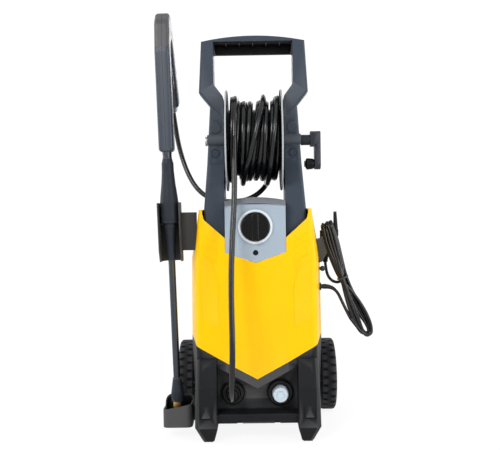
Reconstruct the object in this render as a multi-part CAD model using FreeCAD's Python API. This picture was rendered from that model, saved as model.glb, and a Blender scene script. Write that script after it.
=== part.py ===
import FreeCAD, Part
import math
import os

# Pressure washer with hose reel, upright on two wheels and two feet.  Millimetres.
# X is to the machine's right as seen from the front, -Y is its front, Z is up, the
# floor is z = 0 and the machine's mid-plane is x = 0 until the last step moves it.

V = FreeCAD.Vector

# ---- general -------------------------------------------------------------------------
WALL = 3.0            # moulded plastic wall
SEAM = 0.5            # gap between two moulded covers
SEAT = 0.3            # gap between a piece and what carries it
RUN = 0.06            # radial running clearance of a shaft in its bore

# ---- body shell: half-widths of the front face and of the sides at several heights ---
SHELL_BOTTOM = 28.0
SHELL_TOP = 500.0
SHELL_LEVELS = [      # height, half-width of the front face, half-width of the sides
    (28.0, 126.0, 143.0),
    (200.0, 131.0, 150.0),
    (390.0, 131.0, 148.0),
    (500.0, 122.0, 130.0),
]
FRONT_Y = -152.0      # middle facet of the front
FACET_HALF = 66.0     # half-width of the flat middle facet
CHEEK_Y = -142.0      # where the front facets meet the sides
FLARE_Y = -40.0       # where the sides stop widening
BACK_Y = 108.0
SPLIT_Y = -12.0       # seam between the front and the rear cover
VEE_TIP_Z = 132.0     # lower edge of the front cover: a shallow V
VEE_SLOPE = 0.542
RECESS_HALF = 88.0    # opening between the legs
RECESS_TIP_Z = 112.0
RECESS_BACK_Y = -112.0
BAR_TOP_Z = 59.0      # bar across the bottom of the opening
BAR_BOTTOM_Z = 38.0
BAR_FRONT_Y = -160.0

SCREW_R = 2.0         # screws of the rear cover
SCREW_X = 96.0
SCREW_ROWS = (250.0, 470.0)

# ---- control panel ---------------------------------------------------------------------
PANEL_HALF = 65.6
PANEL_TOP_Z = 511.0
PANEL_CORNER_Z = 407.0
PANEL_TIP_Z = 384.5
CAP_TOP_Z = 526.0
KNOB_Z = 462.0
KNOB_R = 31.0
KNOB_DEPTH = 17.0
DIAL_R = KNOB_R + 6.0
LENS_Z = 406.0
LENS_R = 5.8
SWITCH_SHAFT_R = 4.0

# ---- uprights and handle ---------------------------------------------------------------
UPRIGHT_IN = 67.0
CAPS = [(13.0, 27.5), (9.0, -30.0)]    # screw caps: radius, height above the reel's axle
TONGUE_LOW_Z = 682.0
UPRIGHT_LEVELS = [    # height, outer half-width, front y, back y
    (425.0, 117.0, -136.0, -16.0),
    (500.0, 112.0, -130.0, -18.0),
    (560.0, 109.0, -100.0, -22.0),
    (600.0, 106.5, -86.0, -27.0),
    (705.0, 100.0, -84.0, -28.0),
    (733.0, 98.2, -84.0, -28.0),
]
SEAM_IN_Z = 705.0     # the joint between upright and handle runs from here ...
SEAM_OUT_Z = 733.0    # ... out to here
HANDLE_FRONT_Y = -84.0
HANDLE_BACK_Y = -32.0
HANDLE_WIDE = 122.6
HANDLE_WIDE_Z = 763.0
HANDLE_TOP_HALF = 116.0
HANDLE_SHOULDER_Z = 877.0
HANDLE_APEX_Z = 889.0
WINDOW_HALF = 89.0
WINDOW_LOW_HALF = 68.0
WINDOW_LOW_Z = 753.0
WINDOW_BEND_Z = 781.0
GRIP_REAR_Z = 855.0   # underside of the grip's rear wall
GRIP_LIP_Z = 876.0    # underside of its front lip
GRIP_WALL = 4.0

# ---- reel ------------------------------------------------------------------------------
REEL_Y = -56.0
REEL_Z = 656.0
FLANGE_R = 114.0
FLANGE_T = 2.4
FLANGE_X = 60.6       # inner face of each flange
DRUM_R = 70.0
WINDING_R = 94.0
AXLE_R = 8.0
AXLE_HOUSING_R = 11.5
BOSS_R = 12.0
CRANK_X = 128.0       # inner face of the crank's block
CRANK_OUT_X = 151.0
CRANK_THIN_X = 137.0  # inner face of the arm below the block
CRANK_REACH = 54.5    # axle to hand knob
CRANK_HALF = 13.0
KNUCKLE_Z = 15.0      # the block ends this far below the axle
CRANK_GRIP_R = 13.3
CRANK_GRIP_LONG = 20.0
CRANK_PIN_R = 4.0

# ---- wheels ----------------------------------------------------------------------------
WHEEL_R = 87.0
WHEEL_Y = 84.0
RIM_R = 68.0
WHEEL_IN_X = 153.5
WHEEL_OUT_X = 190.0
WHEEL_AXLE_R = 8.0
TREADS = 28

# ---- legs ------------------------------------------------------------------------------
FOOT_Y = -171.0
PAD_T = 3.0
PAD_HALF_X = 10.0
PAD_X = 107.0
PAD_Y0 = -162.0
PAD_Y1 = -130.0

# ---- water ports -----------------------------------------------------------------------
OUTLET_X = -54.0
INLET_X = 50.0
PORT_Z = 94.0
OUTLET_RING_R = 26.0
INLET_RING_R = 29.0
RING_OUT = 9.0        # how far a ring stands out of the recess wall
HOSE_D = 12.0
NUT_R = 18.0
ADAPTOR_R = 17.6
ADAPTOR_OUT = 30.0

# ---- gun and lance, drawn about their own upright axis ---------------------------------
LANCE_X = -176.0      # axis at the floor
LANCE_Y = -108.0
LANCE_TILT = -1.52    # degrees, leaning away from the machine at the top
GUN_LOW_Z = 629.0
GUN_SCREW_R = 3.0
GUN_HALF_X = 16.8
SLEEVE_TOP_Z = 615.0
SLEEVE_LOW_Z = 472.0
TUBE_R = 7.6
TUBE_TOP_Z = 660.0
NOZZLE_LOW_Z = 76.0
TIP_LOW_Z = 60.0
TRIGGER_PIVOT = (34.0, 896.0)    # y, z in the gun's frame
LATCH_PIVOT = (27.5, 882.0)
PIVOT_R = 2.5
GRIP_END = (147.0, 752.0)        # middle of the grip's lower end
GRIP_DIRECTION = (0.519, -0.855)
CLIP_LOW_Z = 387.0
CLIP_HIGH_Z = 517.0
CLIP_HALF = 25.0
CUP_LOW_Z = 25.0

# ---- cord ------------------------------------------------------------------------------
CORD_D = 7.0
GLAND_R = 5.2
GLAND_Z = 321.0
HOOK_Y = -60.0
HOOK_BAR_Z = 446.0


# ---- helpers ---------------------------------------------------------------------------
def box(x0, x1, y0, y1, z0, z1):
    return Part.makeBox(x1 - x0, y1 - y0, z1 - z0, V(x0, y0, z0))


def cyl(radius, length, base, axis):
    return Part.makeCylinder(radius, length, V(*base), V(*axis))


def cone(r0, r1, length, base, axis):
    return Part.makeCone(r0, r1, length, V(*base), V(*axis))


def ring(r_out, r_in, length, base, axis):
    start = V(*base) - V(*axis).normalize() * 1.0
    bore = Part.makeCylinder(r_in, length + 2.0, start, V(*axis))
    return cyl(r_out, length, base, axis).cut(bore)


def rounded_wire(points, radii):
    """Closed flat polygon whose corners are arcs; a radius of 0 keeps a corner sharp."""
    count = len(points)
    corners = []
    for i, p in enumerate(points):
        to_last = (points[i - 1] - p).normalize()
        to_next = (points[(i + 1) % count] - p).normalize()
        if radii[i] == 0:
            corners.append((p, None, p))
            continue
        half = to_last.getAngle(to_next) / 2.0
        back = radii[i] / math.tan(half)
        middle = (to_last + to_next).normalize()
        reach = radii[i] / math.sin(half) - radii[i]
        corners.append((p + to_last * back, p + middle * reach, p + to_next * back))
    edges = []
    for i, (start, mid, end) in enumerate(corners):
        last_end = corners[i - 1][2]
        if last_end.distanceToPoint(start) > 1e-6:
            edges.append(Part.LineSegment(last_end, start).toShape())
        if mid is not None:
            edges.append(Part.Arc(start, mid, end).toShape())
    return Part.Wire(edges)


def radii_for(points, radius):
    return radius if isinstance(radius, list) else [radius] * len(points)


def prism_y(points, y0, y1, radius=0):
    """Outline of (x, z) points carried from y0 to y1."""
    flat = [V(x, y0, z) for x, z in points]
    face = Part.Face(rounded_wire(flat, radii_for(points, radius)))
    return face.extrude(V(0, y1 - y0, 0))


def prism_x(points, x0, x1, radius=0):
    """Outline of (y, z) points carried from x0 to x1."""
    flat = [V(x0, y, z) for y, z in points]
    face = Part.Face(rounded_wire(flat, radii_for(points, radius)))
    return face.extrude(V(x1 - x0, 0, 0))


def prism_z(points, z0, z1, radius=0):
    """Outline of (x, y) points carried from z0 to z1."""
    flat = [V(x, y, z0) for x, y in points]
    face = Part.Face(rounded_wire(flat, radii_for(points, radius)))
    return face.extrude(V(0, 0, z1 - z0))


def spin_x(profile, y, z):
    """Solid of revolution about a line along X; the profile holds (x, radius) points."""
    points = [V(x, y, z + r) for x, r in profile]
    face = Part.Face(Part.makePolygon(points + [points[0]]))
    return face.revolve(V(0, y, z), V(1, 0, 0), 360)


def spin_z(profile, x=0.0, y=0.0):
    """Solid of revolution about a line along Z; the profile holds (radius, z) points."""
    points = [V(x + r, y, z) for r, z in profile]
    face = Part.Face(Part.makePolygon(points + [points[0]]))
    return face.revolve(V(x, y, 0), V(0, 0, 1), 360)


def spin_y(profile, x, z):
    """Solid of revolution about a line along Y; the profile holds (y, radius) points."""
    points = [V(x + r, y, z) for y, r in profile]
    face = Part.Face(Part.makePolygon(points + [points[0]]))
    return face.revolve(V(x, 0, z), V(0, 1, 0), 360)


def mirror_x(shape):
    return shape.mirror(V(0, 0, 0), V(1, 0, 0))


def both(shape):
    return shape.fuse(mirror_x(shape))


def join(first, *others):
    return first.fuse(list(others)).removeSplitter()


def cut(shape, *tools):
    return shape.cut(list(tools))


def round_edges(shape, radius, wanted):
    """Fillet the edges for which wanted(edge) is true."""
    edges = [e for e in shape.Edges if wanted(e)]
    return shape.makeFillet(radius, edges)


def group(shapes):
    return Part.makeCompound(shapes)


def between(levels, z, column):
    """A value of a level table at height z, in proportion between its rows."""
    for low, high in zip(levels, levels[1:]):
        if z <= high[0] or high is levels[-1]:
            share = (z - low[0]) / (high[0] - low[0])
            return low[column] + share * (high[column] - low[column])


# ---- body shell ------------------------------------------------------------------------
def shell_section(z, inset):
    front = between(SHELL_LEVELS, z, 1) - inset
    side = between(SHELL_LEVELS, z, 2) - inset
    facet = FACET_HALF - inset / 2.0
    y_front, y_cheek, y_back = FRONT_Y + inset, CHEEK_Y + inset, BACK_Y - inset
    right = [(facet, y_front), (front, y_cheek), (side, FLARE_Y), (side, y_back)]
    left = [(-x, y) for x, y in reversed(right)]
    points = [V(x, y, z) for x, y in right + left]
    arcs = [30.0, 16.0 - inset, 60.0, 40.0 - inset]
    return rounded_wire(points, arcs + arcs[::-1])


def shell_solid(inset):
    heights = [row[0] for row in SHELL_LEVELS]
    heights[0] += inset
    heights[-1] -= inset
    return Part.makeLoft([shell_section(z, inset) for z in heights], True, True)


def vee(z_tip, z_end, drop=0.0):
    """Everything above the V-shaped seam, lowered by drop, up to z_end."""
    far = 200.0
    edge = z_tip + far * VEE_SLOPE - drop
    points = [(0, z_tip - drop), (far, edge), (far, z_end), (-far, z_end), (-far, edge)]
    return prism_y(points, -220.0, 220.0)


def shell_walls():
    return shell_solid(0.0).cut(shell_solid(WALL))


def upright_pocket(clear):
    """Room for the uprights where they pass through the top of the body."""
    wide = between(UPRIGHT_LEVELS, SHELL_TOP, 1) + clear
    back = between(UPRIGHT_LEVELS, SHELL_TOP, 3) + clear
    one = box(UPRIGHT_IN - clear, wide + 2.0, FRONT_Y - 10, back + 3.0, 490.0, 520.0)
    return both(one)


def panel_outline(grow):
    tip = PANEL_TIP_Z - grow * 1.1
    corner = PANEL_CORNER_Z - grow * 0.3
    half = PANEL_HALF + grow
    return [(0, tip), (half, corner), (half, 530.0), (-half, 530.0), (-half, corner)]


def shoulder_cut():
    """Above this line the front cover is open for the panel and the uprights."""
    right = [(66.0, 438.0), (112.5, 479.0), (116.0, 500.0), (116.5, 530.0)]
    left = [(-x, z) for x, z in reversed(right)]
    return prism_y(right + left, FRONT_Y - 20, -120.0, [0, 14.0, 0, 0, 0, 0, 14.0, 0])


def make_front_cover():
    cover = shell_walls().common(vee(VEE_TIP_Z, 520.0))
    cover = cover.common(box(-220, 220, -220, SPLIT_Y - SEAM, 0, 520))
    panel_hole = prism_y(panel_outline(SEAM), FRONT_Y - 20, -120.0)
    roof = box(-PANEL_HALF - 2, PANEL_HALF + 2, FRONT_Y - 20, SPLIT_Y, 490, 520)
    cover = cut(cover, panel_hole, shoulder_cut(), upright_pocket(1.0), roof)
    swell = []
    for side in (-1, 1):
        points = [(82, 240), (118, 262), (118, 405), (96, 392), (82, 330)]
        pad = prism_y([(side * x, z) for x, z in points], -160.0, -120.0, 8.0)
        swell.append(pad.common(shell_solid(-0.9)).cut(shell_solid(0.6)))
    cover = join(cover, *swell)
    return cover.cut(cyl(GLAND_R + 0.4, 40, (130, HOOK_Y, GLAND_Z), (1, 0, 0)))


def make_rear_cover():
    cover = shell_walls().common(vee(VEE_TIP_Z, 520.0))
    cover = cover.common(box(-220, 220, SPLIT_Y, 220, 0, 520))
    front_roof = box(-UPRIGHT_IN + 1.0, UPRIGHT_IN - 1.0, -128.0, SPLIT_Y + 4.0,
                     SHELL_TOP - WALL, SHELL_TOP)
    cover = join(cover.cut(upright_pocket(1.0)), front_roof)
    vents = []
    for row in range(7):
        for side in (-1, 1):
            x = side * 48.0
            z = 300.0 + row * 14.0
            vents.append(box(x - 34, x + 34, BACK_Y - 10, BACK_Y + 10, z, z + 6.0))
    screw_holes = [cyl(SCREW_R + 0.2, 30, (side * SCREW_X, BACK_Y - 20, z), (0, 1, 0))
                   for side in (-1, 1) for z in SCREW_ROWS]
    return cover.cut(vents + screw_holes)


def make_cover_screws():
    screws = []
    for z in SCREW_ROWS:
        x, y = SCREW_X, BACK_Y + SEAT
        head = cyl(4.5, 2.4, (x, y, z), (0, 1, 0))
        slot = box(x - 3.5, x + 3.5, y + 1.3, y + 5, z - 0.6, z + 0.6)
        cross = box(x - 0.6, x + 0.6, y + 1.3, y + 5, z - 3.5, z + 3.5)
        shank = cyl(SCREW_R, 14, (x, y - 14, z), (0, 1, 0))
        screw = join(head, shank).cut([slot, cross])
        screws += [screw, mirror_x(screw)]
    return group(screws)


def recess_outline(grow):
    right_z = RECESS_TIP_Z + RECESS_HALF * VEE_SLOPE + grow
    half = RECESS_HALF + grow
    return [(0, RECESS_TIP_Z + grow), (half, right_z), (half, BAR_TOP_Z - grow),
            (-half, BAR_TOP_Z - grow), (-half, right_z)]


def make_leg():
    """Right front leg: narrow at the floor, widest above its sloping foot."""
    def section(z, x0, x1, y0, y1):
        points = [V(x0, y0, z), V(x1, y0, z), V(x1, y1, z), V(x0, y1, z)]
        return rounded_wire(points, [3.0, 8.0, 3.0, 3.0])
    rows = [(PAD_T, 94.0, 120.0, FOOT_Y + 5, -124.0),
            (32.0, 86.0, 136.0, FOOT_Y, -118.0),
            (118.0, 87.0, 134.0, FOOT_Y + 5.0, -118.0),
            (176.0, 88.0, 131.5, FOOT_Y + 17.0, -120.0)]
    leg = Part.makeLoft([section(*row) for row in rows], True, True)
    inset = [(99, 50), (125, 50), (123, 112), (97, 104)]
    groove = prism_y(inset, FOOT_Y - 5, FOOT_Y + 3.2, 4.0).cut(
        prism_y([(101.5, 53), (122, 53), (120.5, 108), (99.5, 101.5)], FOOT_Y - 6, FOOT_Y + 9, 3.0))
    return leg.cut(groove)


def make_chassis():
    lower = shell_walls().cut(vee(VEE_TIP_Z, 520.0, SEAM))
    opening = prism_y(recess_outline(0.0), FRONT_Y - 30, RECESS_BACK_Y)
    tub = prism_y(recess_outline(WALL), FRONT_Y + 6, RECESS_BACK_Y + WALL)
    bar = box(-RECESS_HALF - 2, RECESS_HALF + 2, BAR_FRONT_Y, -122.0, BAR_BOTTOM_Z, BAR_TOP_Z)
    bar = round_edges(bar, 3.0, lambda e: abs(e.BoundBox.YMin - BAR_FRONT_Y) < 0.1
                      and e.BoundBox.XLength > 50)
    leg = make_leg().cut(vee(VEE_TIP_Z, 520.0, SEAM))
    notches = [prism_y([(x - 8, 30), (x + 8, 30), (x + 5, 43), (x - 5, 43)],
                       BAR_FRONT_Y - 2, BAR_FRONT_Y + 9) for x in (-39.0, 42.0)]
    body = join(lower, tub, bar, leg, mirror_x(leg))
    axle_tube = cyl(14.0, 2 * 147.0, (-147.0, WHEEL_Y, WHEEL_R), (1, 0, 0))
    body = join(body, axle_tube)
    bores = [cyl(WHEEL_AXLE_R + SEAM / 10, 400, (-200, WHEEL_Y, WHEEL_R), (1, 0, 0))]
    for x in (OUTLET_X, INLET_X):
        bores.append(cyl(15.0, 30, (x, RECESS_BACK_Y - 15, PORT_Z), (0, 1, 0)))
    under = box(-RECESS_HALF + 1, RECESS_HALF - 1, FOOT_Y - 5, -121.9, 0, BAR_BOTTOM_Z)
    return cut(body, opening, under, *(bores + notches))


def make_foot_pads():
    pad = box(PAD_X - PAD_HALF_X, PAD_X + PAD_HALF_X, PAD_Y0, PAD_Y1, 0, PAD_T)
    return group([pad, mirror_x(pad)])


# ---- control panel ---------------------------------------------------------------------
def make_control_panel():
    plate = prism_y(panel_outline(0.0), FRONT_Y, FRONT_Y + 4.0)
    plate = plate.common(box(-100, 100, -200, 0, 0, PANEL_TOP_Z))
    shelf = box(-60, 60, FRONT_Y + 3, -131.0, PANEL_TOP_Z - 4, PANEL_TOP_Z)
    dish = cyl(DIAL_R + 4.0, 1.0, (0, FRONT_Y - 1, KNOB_Z), (0, 1, 0)).cut(
        cyl(DIAL_R + 2.6, 3.0, (0, FRONT_Y - 2, KNOB_Z), (0, 1, 0)))
    holes = [cyl(SWITCH_SHAFT_R + 1.0, 20, (0, FRONT_Y - 5, KNOB_Z), (0, 1, 0)),
             cyl(LENS_R - 1.5, 20, (0, FRONT_Y - 5, LENS_Z), (0, 1, 0)),
             cyl(LENS_R + 0.2, 1.2, (0, FRONT_Y, LENS_Z), (0, 1, 0))]
    return cut(join(plate, shelf, dish), *holes)


def make_top_cap():
    """Lip over the panel: a rounded nose and a low roof behind it."""
    z0 = PANEL_TOP_Z + 1.2
    profile = [(FRONT_Y - 3.5, z0), (FRONT_Y - 3.5, CAP_TOP_Z - 3), (-120.0, CAP_TOP_Z),
               (-100.0, CAP_TOP_Z - 4), (-88.0, SHELL_TOP + SEAT), (-128.0, SHELL_TOP + SEAT),
               (-130.0, z0)]
    return prism_x(profile, -65.6, 65.6, [3.0, 8.0, 20.0, 12.0, 0, 0, 0])


def make_dial_ring():
    return ring(DIAL_R, KNOB_R + 1.2, 2.0, (0, FRONT_Y - 2.0, KNOB_Z), (0, 1, 0))


def make_selector_knob():
    y0 = FRONT_Y - SEAT
    disc = spin_y([(y0, 0), (y0, KNOB_R), (y0 - 5, KNOB_R), (y0 - 7, KNOB_R - 2),
                   (y0 - 7, 0)], 0, KNOB_Z)
    rib = box(-8, 8, y0 - KNOB_DEPTH, y0 - 5, KNOB_Z - KNOB_R + 2.5, KNOB_Z + KNOB_R - 2.5)
    rib = round_edges(rib, 4.0, lambda e: e.BoundBox.YLength > 5 or e.BoundBox.YMin < y0 - 16)
    mark = box(-1.2, 1.2, y0 - KNOB_DEPTH - 1, y0 - KNOB_DEPTH + 0.8, KNOB_Z + 10, KNOB_Z + 25)
    shaft = cyl(SWITCH_SHAFT_R, 24.0, (0, y0 - 1, KNOB_Z), (0, 1, 0))
    return join(disc, rib, shaft).cut(mark)


def make_switch_body():
    back = FRONT_Y + 4.0 + SEAT
    case = box(-24, 24, back, back + 44, KNOB_Z - 26, KNOB_Z + 26)
    tabs = [box(x - 3, x + 3, back + 44, back + 52, KNOB_Z - 14, KNOB_Z + 14) for x in (-14, 14)]
    bore = cyl(SWITCH_SHAFT_R + RUN, 26, (0, back - 1, KNOB_Z), (0, 1, 0))
    return join(case, *tabs).cut(bore)


def make_indicator_lens():
    y0 = FRONT_Y + 1.2 - 0.1
    return spin_y([(y0, 0), (y0, LENS_R), (y0 - 1.4, LENS_R), (y0 - 2.2, 0)], 0, LENS_Z)


# ---- uprights and handle ---------------------------------------------------------------
def make_upright():
    """Right upright, from inside the body up to the slanting seam under the handle."""
    sections = []
    for z, wide, y0, y1 in UPRIGHT_LEVELS:
        points = [V(UPRIGHT_IN, y0, z), V(wide, y0, z), V(wide, y1, z), V(UPRIGHT_IN, y1, z)]
        sections.append(rounded_wire(points, [1.5, 9.0, 9.0, 1.5]))
    body = Part.makeLoft(sections, True, True)
    above = prism_y([(50, SEAM_IN_Z - 15.0), (UPRIGHT_IN, SEAM_IN_Z), (98.2, SEAM_OUT_Z),
                     (130, 762), (130, 800), (50, 800)], -150, 50)
    housing = cyl(AXLE_HOUSING_R, 38.5, (UPRIGHT_IN + 0.2, HANDLE_FRONT_Y - 0.5, REEL_Z), (1, 0, 0))
    housing = housing.common(box(60, 104.5, -120, -70, 600, 700))
    bore = cyl(AXLE_R + RUN, 80, (50, REEL_Y, REEL_Z), (1, 0, 0))
    seats = [cyl(cap_r + 0.4, 6.0, (86.5, HANDLE_FRONT_Y - 4.0, REEL_Z + dz), (0, 1, 0))
             for cap_r, dz in CAPS]
    sill = prism_y([(60, 438.0), (120, 491.0), (120, 400), (60, 400)], -150, -133.0)
    return cut(join(body, housing), above, bore, sill, tongue(SEAT), handle_screw(0.1)[0], *seats)


def make_upright_caps():
    caps = []
    for radius, dz in CAPS:
        y0 = HANDLE_FRONT_Y + 2.0 - SEAT / 3
        disc = spin_y([(y0, 0), (y0, radius), (y0 - 2.2, radius), (y0 - 3.2, radius - 1.5),
                       (y0 - 3.2, 0)], 86.5, REEL_Z + dz)
        caps += [disc, mirror_x(disc)]
    return group(caps)


def handle_outline():
    side = [(UPRIGHT_IN, SEAM_IN_Z), (98.4, SEAM_OUT_Z), (HANDLE_WIDE, HANDLE_WIDE_Z),
            (HANDLE_TOP_HALF, HANDLE_SHOULDER_Z)]
    return side


def make_handle_frame():
    y0, y1 = HANDLE_FRONT_Y, HANDLE_BACK_Y
    right = [V(x, y0, z) for x, z in handle_outline()]
    left = [V(-x, y0, z) for x, z in reversed(handle_outline())]
    apex = V(0, y0, HANDLE_APEX_Z)
    edges = [Part.LineSegment(a, b).toShape() for a, b in zip(right, right[1:])]
    edges.append(Part.Arc(right[-1], apex, left[0]).toShape())
    edges += [Part.LineSegment(a, b).toShape() for a, b in zip(left, left[1:])]
    edges.append(Part.LineSegment(left[-1], right[0]).toShape())
    frame = Part.Face(Part.Wire(edges)).extrude(V(0, y1 - y0, 0))
    frame = round_edges(frame, 5.0, lambda e: e.BoundBox.ZMin > SEAM_OUT_Z - 3
                        and e.BoundBox.YLength < 1)
    half, low = WINDOW_HALF, WINDOW_LOW_HALF
    window = prism_y([(low, 690), (low, WINDOW_LOW_Z), (half, WINDOW_BEND_Z), (half, GRIP_REAR_Z),
                      (-half, GRIP_REAR_Z), (-half, WINDOW_BEND_Z), (-low, WINDOW_LOW_Z),
                      (-low, 690)], y0 - 5, y1 + 5, [0, 10, 8, 2, 2, 8, 10, 0])
    channel = box(-half, half, y0 + GRIP_WALL, y1 - GRIP_WALL, GRIP_REAR_Z - 5, HANDLE_SHOULDER_Z)
    front = box(-half, half, y0 - 5, y0 + GRIP_WALL + 1, GRIP_REAR_Z - 5, GRIP_LIP_Z)
    seam_gap = prism_y([(50, SEAM_IN_Z - 15 + SEAM), (UPRIGHT_IN, SEAM_IN_Z + SEAM),
                        (98.2, SEAM_OUT_Z + SEAM), (101, SEAM_OUT_Z + 2.6), (101, 600), (50, 600)],
                       y0 - 5, y1 + 5)
    frame = join(cut(frame, window, channel, front, both(seam_gap)), both(tongue(0.0)))
    return frame.cut(both(handle_screw(0.1)[0]))


def make_handle_grip():
    """Liner clipped into the channel of the grip, open underneath."""
    y0, y1 = HANDLE_FRONT_Y + GRIP_WALL + SEAT, HANDLE_BACK_Y - GRIP_WALL - SEAT
    half = WINDOW_HALF - SEAT
    block = box(-half, half, y0, y1, GRIP_REAR_Z + 1, HANDLE_SHOULDER_Z - SEAT)
    inside = box(-half + 2.5, half - 2.5, y0 + 2.5, y1 - 2.5, GRIP_REAR_Z - 1, HANDLE_SHOULDER_Z - 3)
    front = box(-half - 1, half + 1, y0 - 1, y0 + 3, GRIP_REAR_Z - 1, GRIP_LIP_Z + 0.5)
    ribs = [box(x - 1.0, x + 1.0, y0 + 2.5, y1 - 2.5, GRIP_LIP_Z - 6, HANDLE_SHOULDER_Z - 3)
            for x in (-60, -30, 0, 30, 60)]
    return join(block.cut([inside, front]), *ribs)


def tongue(grow):
    """Tenon of the handle that plugs into the top of each upright."""
    return box(76.0 - grow, 90.0 + grow, -70.0 - grow, -44.0 + grow, TONGUE_LOW_Z - grow, 714.0)


def handle_screw(grow):
    y0 = HANDLE_BACK_Y + 4.0
    shank = cyl(2.5 + grow, 22.0, (83.0, y0 + SEAT, TONGUE_LOW_Z + 9.0), (0, -1, 0))
    head = cyl(5.0, 2.8, (83.0, y0 + SEAT, TONGUE_LOW_Z + 9.0), (0, 1, 0))
    return shank, head


def make_handle_screws():
    shank, head = handle_screw(0.0)
    slot = box(79.5, 86.5, HANDLE_BACK_Y + 6.0, HANDLE_BACK_Y + 12.0,
               TONGUE_LOW_Z + 8.4, TONGUE_LOW_Z + 9.6)
    screw = join(shank, head).cut(slot)
    return group([screw, mirror_x(screw)])


# ---- reel ------------------------------------------------------------------------------
def make_reel_drum():
    tube = spin_x([(-FLANGE_X, AXLE_R + 4), (-FLANGE_X, DRUM_R), (FLANGE_X, DRUM_R), (FLANGE_X, AXLE_R + 4)],
                  REEL_Y, REEL_Z)
    hollow = spin_x([(-FLANGE_X + 4, AXLE_R + 7), (-FLANGE_X + 4, DRUM_R - 3), (FLANGE_X - 4, DRUM_R - 3),
                     (FLANGE_X - 4, AXLE_R + 7)], REEL_Y, REEL_Z)
    return tube.cut(hollow)


def make_reel_flange(side):
    x0 = FLANGE_X
    profile = [(x0, AXLE_R + 4), (x0, FLANGE_R - 4), (x0 - 1.2, FLANGE_R - 3),
               (x0 - 1.2, FLANGE_R), (x0 + FLANGE_T, FLANGE_R), (x0 + FLANGE_T, AXLE_R + 4)]
    disc = spin_x(profile, REEL_Y, REEL_Z)
    slots = []
    for i in range(6):
        turn = math.radians(60 * i + 30)
        away = (DRUM_R + AXLE_R) / 2 + 3
        centre = (x0 - 5, REEL_Y + away * math.cos(turn), REEL_Z + away * math.sin(turn))
        slots.append(cyl(12.0, 12, centre, (1, 0, 0)))
    disc = disc.cut(slots)
    return disc if side > 0 else mirror_x(disc)


def make_reel_axle():
    rod = cyl(AXLE_R, 2 * 106.5, (-106.5, REEL_Y, REEL_Z), (1, 0, 0))
    collar = spin_x([(-FLANGE_X, 0), (-FLANGE_X, AXLE_R + 3.9), (FLANGE_X, AXLE_R + 3.9),
                     (FLANGE_X, 0)], REEL_Y, REEL_Z)
    end = cyl(BOSS_R - 1, 5.0, (-106.5, REEL_Y, REEL_Z), (-1, 0, 0))
    end = round_edges(end, 2.0, lambda e: abs(e.BoundBox.XMax + 111.5) < 0.1)
    return join(rod, collar, end)


def make_crank_arm():
    """Boss on the axle, thick block, thin arm and the pin of the hand knob."""
    z_low = REEL_Z - CRANK_REACH - CRANK_HALF
    y0, y1 = REEL_Y - CRANK_HALF, REEL_Y + CRANK_HALF
    points = [(y0, z_low), (y1, z_low), (y1, REEL_Z + 19), (y0, REEL_Z + 19)]
    plate = prism_x(points, CRANK_X, CRANK_OUT_X, [12.5, 12.5, 5, 5])
    plate = plate.cut(box(CRANK_X - 1, CRANK_THIN_X, y0 - 1, y1 + 1, z_low - 1, REEL_Z - KNUCKLE_Z))
    plate = round_edges(plate, 2.0, lambda e: e.BoundBox.XLength < 0.1
                        and e.BoundBox.XMin > CRANK_OUT_X - 0.1)
    boss = cyl(BOSS_R, CRANK_X - 106.5 + 1, (106.5, REEL_Y, REEL_Z), (1, 0, 0))
    pivot = cyl(2.2, 3.0, (CRANK_X + 11, y0 - 1, REEL_Z - KNUCKLE_Z + 1.0), (0, 1, 0))
    z_pin = REEL_Z - CRANK_REACH
    pin = cyl(CRANK_PIN_R, CRANK_GRIP_LONG + 2, (CRANK_THIN_X + 1, REEL_Y, z_pin), (-1, 0, 0))
    cap = cyl(CRANK_PIN_R + 3, 2.0, (CRANK_THIN_X - CRANK_GRIP_LONG - 1.0, REEL_Y, z_pin), (-1, 0, 0))
    return join(plate, boss, pin, cap).cut(pivot)


def make_crank_grip():
    x1 = CRANK_THIN_X - 0.4
    x0 = x1 - CRANK_GRIP_LONG + 0.2
    bore = CRANK_PIN_R + RUN
    profile = [(x0, bore), (x0, 9.5), (x0 + 3, CRANK_GRIP_R), (x1 - 5, CRANK_GRIP_R - 1),
               (x1 - 1, CRANK_GRIP_R - 2.5), (x1, CRANK_GRIP_R - 4), (x1, bore)]
    knob = spin_x(profile, REEL_Y, REEL_Z - CRANK_REACH)
    grooves = []
    for i in range(12):
        turn = math.radians(30 * i)
        centre = (x0 - 1, REEL_Y + 14.6 * math.cos(turn),
                  REEL_Z - CRANK_REACH + 14.6 * math.sin(turn))
        grooves.append(cyl(2.0, 40, centre, (1, 0, 0)))
    return knob.cut(grooves)


def make_hose_winding():
    half = FLANGE_X - 1.9
    profile = [(-half, DRUM_R + 0.1), (-half, WINDING_R - 4), (-half + 5, WINDING_R),
               (half - 5, WINDING_R), (half, WINDING_R - 4), (half, DRUM_R + 0.1)]
    return spin_x(profile, REEL_Y, REEL_Z)


# ---- wheels ----------------------------------------------------------------------------
def make_wheel():
    """Right wheel: dished disc with a rim, ribs and a hub."""
    x0, x1 = WHEEL_IN_X, WHEEL_OUT_X
    middle = x0 + 20.0
    profile = [(x0 + 1, RIM_R - 7), (x0 + 1, RIM_R), (x1 - 1, RIM_R), (x1 - 1, RIM_R - 6),
               (middle + 6, RIM_R - 9), (middle + 4, 26), (x1 - 6, 22), (x1 - 5, 13),
               (x1 - 5, WHEEL_AXLE_R + RUN), (x0, WHEEL_AXLE_R + RUN), (x0, 20), (middle, 24),
               (middle + 2, RIM_R - 9)]
    disc = spin_x(profile, WHEEL_Y, WHEEL_R)
    ribs = []
    for i in range(8):
        rib = box(middle + 3, x1 - 6, -2.0, 2.0, 20.0, RIM_R - 5)
        rib.rotate(V(0, 0, 0), V(1, 0, 0), 45 * i)
        rib.translate(V(0, WHEEL_Y, WHEEL_R))
        ribs.append(rib)
    return join(disc, *ribs)


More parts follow.
